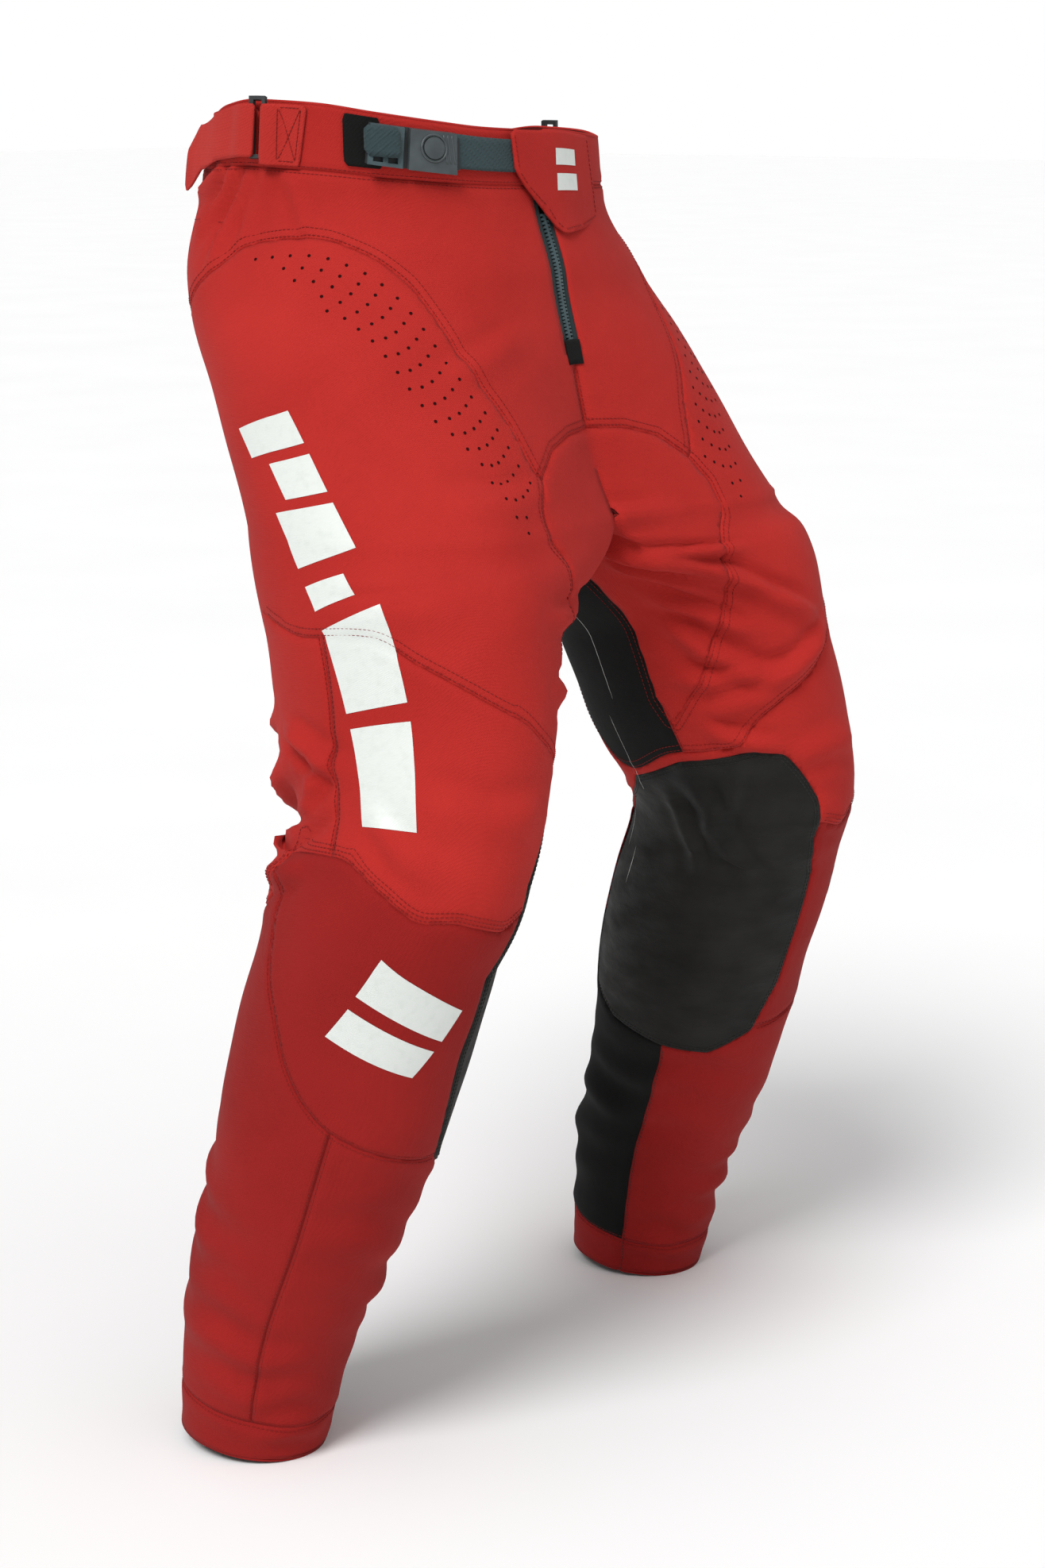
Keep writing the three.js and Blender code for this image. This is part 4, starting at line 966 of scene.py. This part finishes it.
def stitchRun(side, level, angle, plain=False, lift=None, pitch=None):
    # Even stitches along a track.
    point = clothPoint(side, level, angle, 0 if lift is None else lift, plain)
    travel = np.concatenate([[0], np.cumsum(np.linalg.norm(np.diff(point, axis=0), axis=1))])
    pitch = (pitch or stitchShape["pitch"]) / 1000
    begin = np.arange(pitch / 2, travel[-1] - pitch, pitch)
    end = begin + stitchShape["length"] / 1000
    if len(begin) < 2:
        return None
    normal = bodyNormal(side, np.interp(begin, travel, level), np.interp(begin, travel, angle))
    spots = [np.stack([np.interp(t, travel, point[:, k]) for k in range(3)], -1) for t in (begin, end)]
    lifted = normal * stitchShape["lift"]
    return spots[0] + lifted, spots[1] + lifted, normal


def keptRuns(keep):
    runs, start = [], None
    for i, kept in enumerate(list(keep) + [False]):
        if kept and start is None:
            start = i
        elif not kept and start is not None:
            if i - start > 4:
                runs.append(slice(start, i))
            start = None
    return runs


for side in sideSign:
    above, legRed, legBlack = [], [], []
    for name, rows in stitchRows.items():
        level, angle, keep = shownTrack(side, name, -2.0)
        lean = outlineLean(side, level, angle) if name in ("gusset", "grip") else None
        for row in rows:
            newLevel, newAngle = offsetTrack(side, level, angle, row, lean)
            newLevel = np.clip(newLevel, 0.002, 1.998)
            inside = keep & (inCrotch(newAngle) <= (newLevel >= 1))
            if name == "gusset":
                inside &= (newLevel > 1.0) | onWaist(near(newAngle, 90))
            for part in keptRuns(inside):
                run = stitchRun(side, newLevel[part], newAngle[part])
                if run is None:
                    continue
                if name in ("grip", "calfFront", "calfBack"):
                    legBlack.append(run)
                elif name in ("band", "sideTop", "centreFront", "centreBack"):
                    above.append(run)
                else:
                    legRed.append(run)
    top = stitchMesh(f"waist_stitching_{side}", above, finishes["threadRed"])
    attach(top, "trousers")
    red = stitchMesh(f"leg_stitching_{side}", legRed, finishes["threadRed"])
    followKnee(red)
    black = stitchMesh(f"grip_stitching_{side}", legBlack, finishes["threadBlack"])
    followKnee(black)
print("seams stitched")

# Air holes under the hip seam
holeShape = {"rows": (14, 24, 34, 44, 54), "pitch": 15, "radius": 0.0013, "first": 96,
             "last": -30, "taper": 16}
for side in sideSign:
    vertices, faces = [], []
    angle = np.linspace(holeShape["first"], holeShape["last"], 300)
    level = curveThrough(seamShape["hipArc"])(angle)
    for i, row in enumerate(holeShape["rows"]):
        holeLevel, holeAngle = offsetTrack(side, level, angle, row, None)
        point = bodyPoint(side, holeLevel, holeAngle)
        travel = np.concatenate([[0], np.cumsum(np.linalg.norm(np.diff(point, axis=0), axis=1))])
        step = holeShape["pitch"] / 1000
        shift = step * 0.5 * (i % 2) + holeShape["taper"] / 1000 * i
        at = np.arange(step + shift, travel[-1], step)
        holeLevel, holeAngle = np.interp(at, travel, holeLevel), np.interp(at, travel, holeAngle)
        point = bodyPoint(side, holeLevel, holeAngle)
        clear = (fields["gusset"](holeLevel, holeAngle, point) < -8) & (holeLevel < 1.0)
        holeLevel, holeAngle = holeLevel[clear], holeAngle[clear]
        spots = clothPoint(side, holeLevel, holeAngle, 0.00025)
        for spot, normal in zip(spots, bodyNormal(side, holeLevel, holeAngle)):
            across = np.cross(normal, [0, 0, 1.0])
            across /= np.linalg.norm(across)
            up = np.cross(normal, across)
            base = len(vertices)
            for k in range(10):
                turn = k * math.pi / 5
                vertices.append(spot + holeShape["radius"] * (across * math.cos(turn)
                                                              + up * math.sin(turn)))
            faces.append(tuple(range(base, base + 10)))
    # each hole is a flat disc painted very dark: the lining seen through it plus painted shade inside the
    # hole
    holes = newMesh(f"air_holes_{side}", vertices, faces, finishes["holeLiningAndPaintedShade"])
    followKnee(holes)
print("air holes punched")

# Printed bars: plain slanted blocks
thighPrint = {
    "top": [(110, 0.747), (81, 0.69)],  # (angle, level) of the two upper corners
    "bottom": [(76, 1.313), (52, 1.313)],
    # start and end down the leg, then start and end across it
    "blocks": [(0, 0.12, 0, 1), (0.16, 0.3, 0.3, 1), (0.34, 0.5, 0, 1), (0.54, 0.6, 0, 0.7),
               (0.64, 0.8, 0, 1), (0.84, 1, 0, 1)],
}
kneePrint = [[(55, 1.398), (5, 1.434), (13, 1.463), (62, 1.433)],
             [(64, 1.447), (16, 1.473), (24, 1.502), (71, 1.482)]]
kneePrintTurn = {"right": 0, "left": 16}  # the left one sits further round, in degrees
flapPrint = [[(7, 0.05), (21, 0.05), (20, 0.09), (6, 0.09)],
             [(6, 0.11), (20, 0.11), (19, 0.15), (5, 0.15)]]


def straightSides(points, turned=False):
    # One field for each side of a block, so that its corners stay sharp.
    corner = np.array([(angle * mmPerDegree, downOf(level) * 1000) for angle, level in points])
    middle = sum(angle for angle, level in points) / len(points)
    centre = corner.mean(0)
    sides = {}
    for i, (a, b) in enumerate(zip(corner, np.roll(corner, -1, 0))):
        out = np.array([b[1] - a[1], a[0] - b[0]]) / np.hypot(*(b - a))
        out *= np.sign(out @ (centre - a))

        def field(level, angle, point, a=a, out=out):
            turn = np.where(point[:, 0] < 0, -1, 1) * (angle - centreFront) if turned else angle
            x = near(turn, middle) * mmPerDegree
            return (x - a[0]) * out[0] + (downOf(level) * 1000 - a[1]) * out[1]
        sides[f"side{i}"] = field
    return sides


def printBlock(name, side, points, finish, lift=0.00028, turned=False):
    sides = straightSides(points, turned)
    rule = " ".join("+" + key for key in sides)
    return panelMesh(name, [side], rule, finishes[finish], lift, turned, extra=sides)


def blockOutline(start, end, left, right):
    corners = []
    for down, across in ((start, left), (start, right), (end, right), (end, left)):
        edges = [np.array(a) * (1 - across) + np.array(b) * across
                 for a, b in (thighPrint["top"], thighPrint["bottom"])]
        corners.append(tuple(edges[0] * (1 - down) + edges[1] * down))
    return corners


for side in sideSign:
    for i, block in enumerate(thighPrint["blocks"]):
        piece = printBlock(f"thigh_print_{i + 1}_{side}", side, blockOutline(*block), "whitePrint")
        followKnee(piece)
    for i, bar in enumerate(kneePrint):
        bar = [(angle + kneePrintTurn[side], level) for angle, level in bar]
        piece = printBlock(f"knee_print_{i + 1}_{side}", side, bar, "whitePrint")
        followKnee(piece)
print("prints laid on")


# Front flap, zip and waist straps
flapShape = {
    "outline": [(-12, 0.004), (-12.3, 0.1), (-9, 0.135), (-2, 0.19), (2, 0.235), (6, 0.256),
                (20, 0.243), (38, 0.215), (38, 0.004)],
    "rise": [(-14, 0.0062), (-4, 0.0062), (6, 0.0058), (18, 0.0036), (30, 0.0016), (40, 0.0008)],
    "depth": 0.0018,
}
flapRise = curveThrough(flapShape["rise"])


def flapLift(turn, level):
    return flapRise(turn) - 0.0022 * smooth((level - 0.15) / 0.1)


flapField = turnField(flapShape["outline"])
flap = panelMesh("flap_cloth", ["right", "left"], "+shape", finishes["redCloth"], flapLift, True,
                 {"shape": flapField})
thicken(flap, flapShape["depth"])
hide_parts("front_flap", "flap_welt")
hinge = [clothPoint("left", 0.1, turn + centreFront, 0.003, True)[0] for turn in (37, 26)]


def followFlap(piece):
    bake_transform(piece)


followFlap(flap)
for i, bar in enumerate(flapPrint):
    piece = printBlock(f"flap_print_{i + 1}", "left", bar, "whitePrint",
                       lambda turn, level: flapLift(turn, level) + 0.0003, True)
    followFlap(piece)

# stitches round the flap, a little inside its edge
flapRuns = []
outline = np.array(flapShape["outline"])
middle = outline.mean(0)
for a, b in zip(outline[:-1], outline[1:]):
    track = np.linspace(a, b, 30)
    inward = middle - track
    inward /= np.hypot(inward[:, 0] * mmPerDegree, inward[:, 1] * 285)[:, None]
    track = track + inward * 3.2
    for side, pick in (("right", track[:, 0] < 0), ("left", track[:, 0] > 0)):
        if pick.sum() > 5:
            turn, level = track[pick, 0], track[pick, 1]
            run = stitchRun(side, level, np.abs(turn) + centreFront, True,
                            lambda t, l: flapLift(t, l) + 0.0002)
            if run:
                flapRuns.append(run)
flapStitch = stitchMesh("flap_stitching", flapRuns, finishes["threadRed"])
followFlap(flapStitch)


def treeOf(nodeName):
    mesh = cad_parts[nodeName].data
    return BVHTree.FromPolygons([v.co for v in mesh.vertices], [p.vertices for p in mesh.polygons])


def heightOver(nodeName, turns, levels=(0.03, 0.045, 0.06, 0.075, 0.09, 0.105)):
    # How far a fitting stands out from the body between two places on the waist.
    tree = treeOf(nodeName)
    tallest = 0.0
    for turn in np.linspace(*turns, 9):
        side = "left" if turn > 0 else "right"
        for level in levels:
            base = bodyPoint(side, [level], [abs(turn) + centreFront])[0]
            normal = bodyNormal(side, np.array([level]), np.array([abs(turn) + centreFront]))[0]
            hit = tree.ray_cast(Vector(base + normal * 0.04), Vector(-normal), 0.04)
            if hit[0] is not None:
                tallest = max(tallest, 0.04 - hit[3])
    return tallest


def waistStrap(name, outline, finish, lift, depth, sides, *nodes):
    piece = panelMesh(name, sides, "+shape", finishes[finish], lift, True,
                      {"shape": turnField(outline)})
    thicken(piece, depth)
    if nodes:
        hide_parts(*nodes)
    return piece


def boxOf(first, last, high, low):
    return [(first, high), (last, high), (last, low), (first, low)]


beltShape = {"top": 0.028, "bottom": 0.105,
             "rise": [(-60, 0.0078), (-44, 0.007), (-26, 0.0052), (-12, 0.0038), (8, 0.0034)]}
beltRise = curveThrough(beltShape["rise"])
webbing = waistStrap("belt_strap", boxOf(-46, 6, beltShape["top"], beltShape["bottom"]),
                     "webbingCloth", lambda turn, level: beltRise(turn), 0.0013,
                     ["right", "left"], "belt_webbing")
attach(webbing, "belt")
anchor = waistStrap("buckle_anchor_cloth", boxOf(-92, -74, 0.012, 0.118), "blackCloth", 0.0022,
                    0.0012, ["right"], "buckle_anchor_tab")
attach(anchor, "trousers")
loopHeight = heightOver("ladder_lock", (-78, -66)) + 0.0021
loop = waistStrap("ladder_strap", boxOf(-82, -66, 0.032, 0.096), "webbingCloth",
                  lambda turn, level: loopHeight - 0.00004 * (turn + 73) ** 2, 0.0016, ["right"])
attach(loop, "trousers")

adjusterShape = {
    "tab": [(110, 0.006), (131, 0.006), (131, 0.128), (114, 0.128)],
    "under": boxOf(135, 184, 0.016, 0.112),
    "tail": [(134, 0.008), (160, 0.014), (186, 0.03), (193, 0.1), (191, 0.2), (178, 0.138),
             (160, 0.122), (134, 0.116)],
    # how far each stands off, where "over" passes the ring
    "tabRise": [(110, 0.0022), (121, 0.0028), (128, "over"), (131.5, "over")],
    "tailRise": [(134, "over"), (139, "over"), (150, 0.0052), (170, 0.0048), (186, 0.009),
                 (194, 0.015)],
}


def riseOver(points, over):
    return curveThrough([(turn, over if rise == "over" else rise) for turn, rise in points])


for side, sign in sideSign.items():
    ringHeight = heightOver(f"adjuster_ring_{side}", (sign * 129, sign * 137)) + 0.0022
    tabRise = riseOver(adjusterShape["tabRise"], ringHeight)
    tailRise = riseOver(adjusterShape["tailRise"], ringHeight)
    mirrored = {key: [(turn * sign, level) for turn, level in adjusterShape[key]]
                for key in ("tab", "under", "tail")}
    tab = waistStrap(f"adjuster_tab_cloth_{side}", mirrored["tab"], "redStrap",
                     lambda turn, level: tabRise(abs(turn)), 0.0018, [side],
                     f"adjuster_tab_{side}")
    under = waistStrap(f"adjuster_strap_cloth_{side}", mirrored["under"], "redStrap", 0.0022,
                       0.0016, [side], f"adjuster_strap_{side}")
    tail = waistStrap(f"adjuster_tail_cloth_{side}", mirrored["tail"], "redStrap",
                      lambda turn, level: tailRise(abs(turn)), 0.0018, [side],
                      f"adjuster_tail_{side}")
    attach(tab, "trousers")
    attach(under, "trousers")
    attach(tail, f"adjuster_tail_{side}")
    runs = []
    corners = [(113, 0.014), (124, 0.014), (124, 0.12), (116, 0.12), (113, 0.014), (124, 0.12),
               (124, 0.014), (116, 0.12)]
    for a, b in zip(corners, corners[1:]):
        track = np.linspace(a, b, 20)
        run = stitchRun(side, track[:, 1], track[:, 0] + centreFront, True,
                        lambda turn, level: tabRise(abs(turn)) + 0.0002, 3.0)
        if run:
            runs.append(run)
    cross = stitchMesh(f"adjuster_stitching_{side}", runs, finishes["threadRed"])
    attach(cross, "trousers")
print("straps fitted")

zipShape = {"tapeInner": 3.4, "tapeOuter": 9.3, "top": 0.142, "end": 0.605, "toothPitch": 0.0029,
            "firstTooth": 0.058, "lastTooth": 0.162}
zipFields = {
    "inner": lambda level, angle, point: np.abs(point[:, 0]) * 1000 - zipShape["tapeInner"],
    "outer": lambda level, angle, point: zipShape["tapeOuter"] - np.abs(point[:, 0]) * 1000,
    "top": belowLevel(zipShape["top"]),
    "end": belowLevel(zipShape["end"]),
    "front": lambda level, angle, point: -point[:, 1] * 1000,
    "wide": lambda level, angle, point: 16 - np.abs(point[:, 0]) * 1000,
    "patch": lambda level, angle, point: 8.4 - np.abs(point[:, 0]) * 1000,
    "patchTop": belowLevel(0.548),
    "patchEnd": belowLevel(0.611),
}
for side in sideSign:
    tape = panelMesh(f"zip_tape_cloth_{side}", [side], "+inner +outer +top -end +front",
                     finishes["zipTape"], -0.0009, True, zipFields)
    thicken(tape, 0.0006)
    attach(tape, "trousers")
    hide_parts(f"zip_tape_{side}")
facing = panelMesh("fly_facing_cloth", ["right", "left"], "+wide +top -end +front",
                   finishes["blackCloth"], -0.006, True, zipFields)
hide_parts("fly_facing")
endPatch = panelMesh("zip_end_cloth", ["right", "left"], "+patch +patchTop -patchEnd +front",
                     finishes["blackCloth"], 0.0012, True, zipFields)
thicken(endPatch, 0.0012)
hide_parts("zip_end_patch")
for piece in (facing, endPatch):
    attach(piece, "trousers")

# moulded teeth, alternately from the left and the right tape
for side, sign in sideSign.items():
    vertices, faces = [], []
    first = zipShape["firstTooth"] + (zipShape["toothPitch"] / 2 if side == "left" else 0)
    for drop in np.arange(first, zipShape["lastTooth"], zipShape["toothPitch"]):
        level = drop / bodyShape["rise"]
        centre = clothPoint("left", level, centreFront, -0.0004, True)[0]
        below = clothPoint("left", level + 0.004, centreFront, -0.0004, True)[0]
        down = (below - centre) / np.linalg.norm(below - centre)
        out = np.cross([1.0, 0, 0], down) * -1
        out *= np.sign(-out[1])
        base = len(vertices)
        # a head that narrows to a neck: (across, half height, half thickness)
        for across, tall, thick in ((0.0036, 0.0009, 0.0008), (0.0014, 0.0007, 0.0009),
                                    (-0.0006, 0.0011, 0.001), (-0.0014, 0.0008, 0.0007)):
            for y, z in ((-1, -1), (1, -1), (1, 1), (-1, 1)):
                vertices.append(centre + np.array([sign * across, 0, 0]) + down * tall * y
                                + out * thick * z)
        for ring in range(3):
            for k in range(4):
                low = base + ring * 4
                faces.append((low + k, low + (k + 1) % 4, low + 4 + (k + 1) % 4, low + 4 + k))
        faces += [(base + 3, base + 2, base + 1, base), (base + 12, base + 13, base + 14, base + 15)]
    teeth = newMesh(f"zip_teeth_row_{side}", vertices, faces, finishes["tealPlastic"])
    teeth.data.polygons.foreach_set("use_smooth", [False] * len(teeth.data.polygons))
    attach(teeth, "trousers")
    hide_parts(f"zip_teeth_{side}")
print("zip laid in")

# Raised grip ribs and a rim on the buckle cover
coverShape = {"ribs": (-42.5, -44.3, -46.1), "levels": (0.036, 0.098), "ribRadius": 0.0007,
              "rimRadius": 0.0098, "rimWire": 0.0008}


def onNode(nodeName, turn, level):
    # The point of a fitting's outer face over a place on the waist.
    tree = treeOf(nodeName)
    side = "left" if turn > 0 else "right"
    angle = np.array([abs(turn) + centreFront])
    base = bodyPoint(side, [level], angle)[0]
    normal = bodyNormal(side, np.array([level]), angle)[0]
    hit = tree.ray_cast(Vector(base + normal * 0.05), Vector(-normal), 0.05)
    return None if hit[0] is None else np.array(hit[0])


details = []
for turn in coverShape["ribs"]:
    line = [onNode("buckle_cover", turn, level) for level in np.linspace(*coverShape["levels"], 9)]
    line = [point for point in line if point is not None]
    if len(line) > 2:
        details.append(sweepTube(f"cover_rib_{len(details) + 1}", line, coverShape["ribRadius"],
                                 finishes["greyPlastic"]))
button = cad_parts["buckle_button"].data
outer = np.array([v.co for v in button.vertices])
centre = outer.mean(0)
axis = np.linalg.svd(outer - centre)[2]
spread = (outer - centre) @ axis.T
flat = axis[np.argmin(np.ptp(spread, axis=0))]
flat *= np.sign(flat @ np.array([centre[0], centre[1], 0]))
across = np.cross(flat, [0, 0, 1.0])
across /= np.linalg.norm(across)
above = np.cross(flat, across)
coverFace = max((v.co.x * flat[0] + v.co.y * flat[1] + v.co.z * flat[2])
                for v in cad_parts["buckle_cover"].data.vertices
                if np.linalg.norm(np.array(v.co) - centre) < 0.0125)
rimCentre = centre + flat * (coverFace - centre @ flat)
turns = np.linspace(0, 2 * np.pi, 40, endpoint=False)
rim = [rimCentre + coverShape["rimRadius"] * (across * math.cos(t) + above * math.sin(t))
       for t in turns]
details.append(sweepTube("button_rim", rim, coverShape["rimWire"], finishes["greyPlastic"],
                         closed=True))
for piece in details:
    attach(piece, "trousers")

# Moulded fittings keep their shape and get rounded edges
fittings = {
    "buckle_base": ("blackPlastic", 0.0006), "buckle_cover": ("greyPlastic", 0.002),
    "buckle_button": ("greyPlastic", 0.0007), "ladder_lock": ("tealPlastic", 0.0009),
    "belt_tongue": ("blackPlastic", 0.0004), "adjuster_ring_right": ("blackPlastic", 0.0009),
    "adjuster_ring_left": ("blackPlastic", 0.0009), "zip_slider": ("zipMetal", 0.00035),
    "zip_pull": ("zipMetal", 0.0003), "buckle_spring": ("zipMetal", 0.0001),
}
for name, (finish, radius) in fittings.items():
    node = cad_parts[name]
    node.data.materials.clear()
    node.data.materials.append(finishes[finish])
    edge = node.modifiers.new("soft edge", "BEVEL")
    edge.width = radius
    edge.segments = 3
    edge.limit_method = "ANGLE"
print("fittings finished")


# Floor and light: a wide white floor under broad soft light from above, brighter from the left
stageShape = {"floorZ": -0.983, "floorSize": 40, "horizon": 0.26, "glow": 1.0, "dome": 0.1}
floorSize = stageShape["floorSize"]
floorMaterial, nodes, links, shader, place = makeMaterial("floorPaper", 0.95)
links.new(addRamp(nodes, links, addNoise(nodes, links, place, 2.0), (0.9,) * 3, (0.92,) * 3),
          shader.inputs["Base Color"])
floor = newMesh("floor", [(x * floorSize, y * floorSize, stageShape["floorZ"])
                          for x, y in ((-1, -1), (1, -1), (1, 1), (-1, 1))],
                [(0, 1, 2, 3)], floorMaterial)

suns = {
    # direction of travel, strength, softness in degrees
    "key": ((1.0, 0.2, -1.15), 2.2, 24),
    "overhead": ((0.15, 0.25, -1.0), 1.5, 80),
}
for name, (travel, strength, softness) in suns.items():
    data = bpy.data.lights.new(name, "SUN")
    data.energy = strength
    data.angle = math.radians(softness)
    lamp = bpy.data.objects.new(name, data)
    bpy.context.scene.collection.objects.link(lamp)
    lamp.rotation_euler = Vector(travel).to_track_quat("-Z", "Y").to_euler()

world = bpy.data.worlds.new("studio")
bpy.context.scene.world = world
world.use_nodes = True
nodes, links = world.node_tree.nodes, world.node_tree.links
sky = nodes["Background"]
direction = nodes.new("ShaderNodeTexCoord")
split = nodes.new("ShaderNodeSeparateXYZ")
links.new(direction.outputs["Generated"], split.inputs["Vector"])
tall = nodes.new("ShaderNodeMath")
tall.operation = "ABSOLUTE"
links.new(split.outputs["Z"], tall.inputs[0])
fade = addRamp(nodes, links, tall.outputs["Value"], (stageShape["glow"],) * 3,
               (stageShape["dome"],) * 3, 0.12, stageShape["horizon"])
links.new(fade, sky.inputs["Color"])
bpy.context.scene.view_settings.view_transform = "Standard"
print("floor and lamps placed")
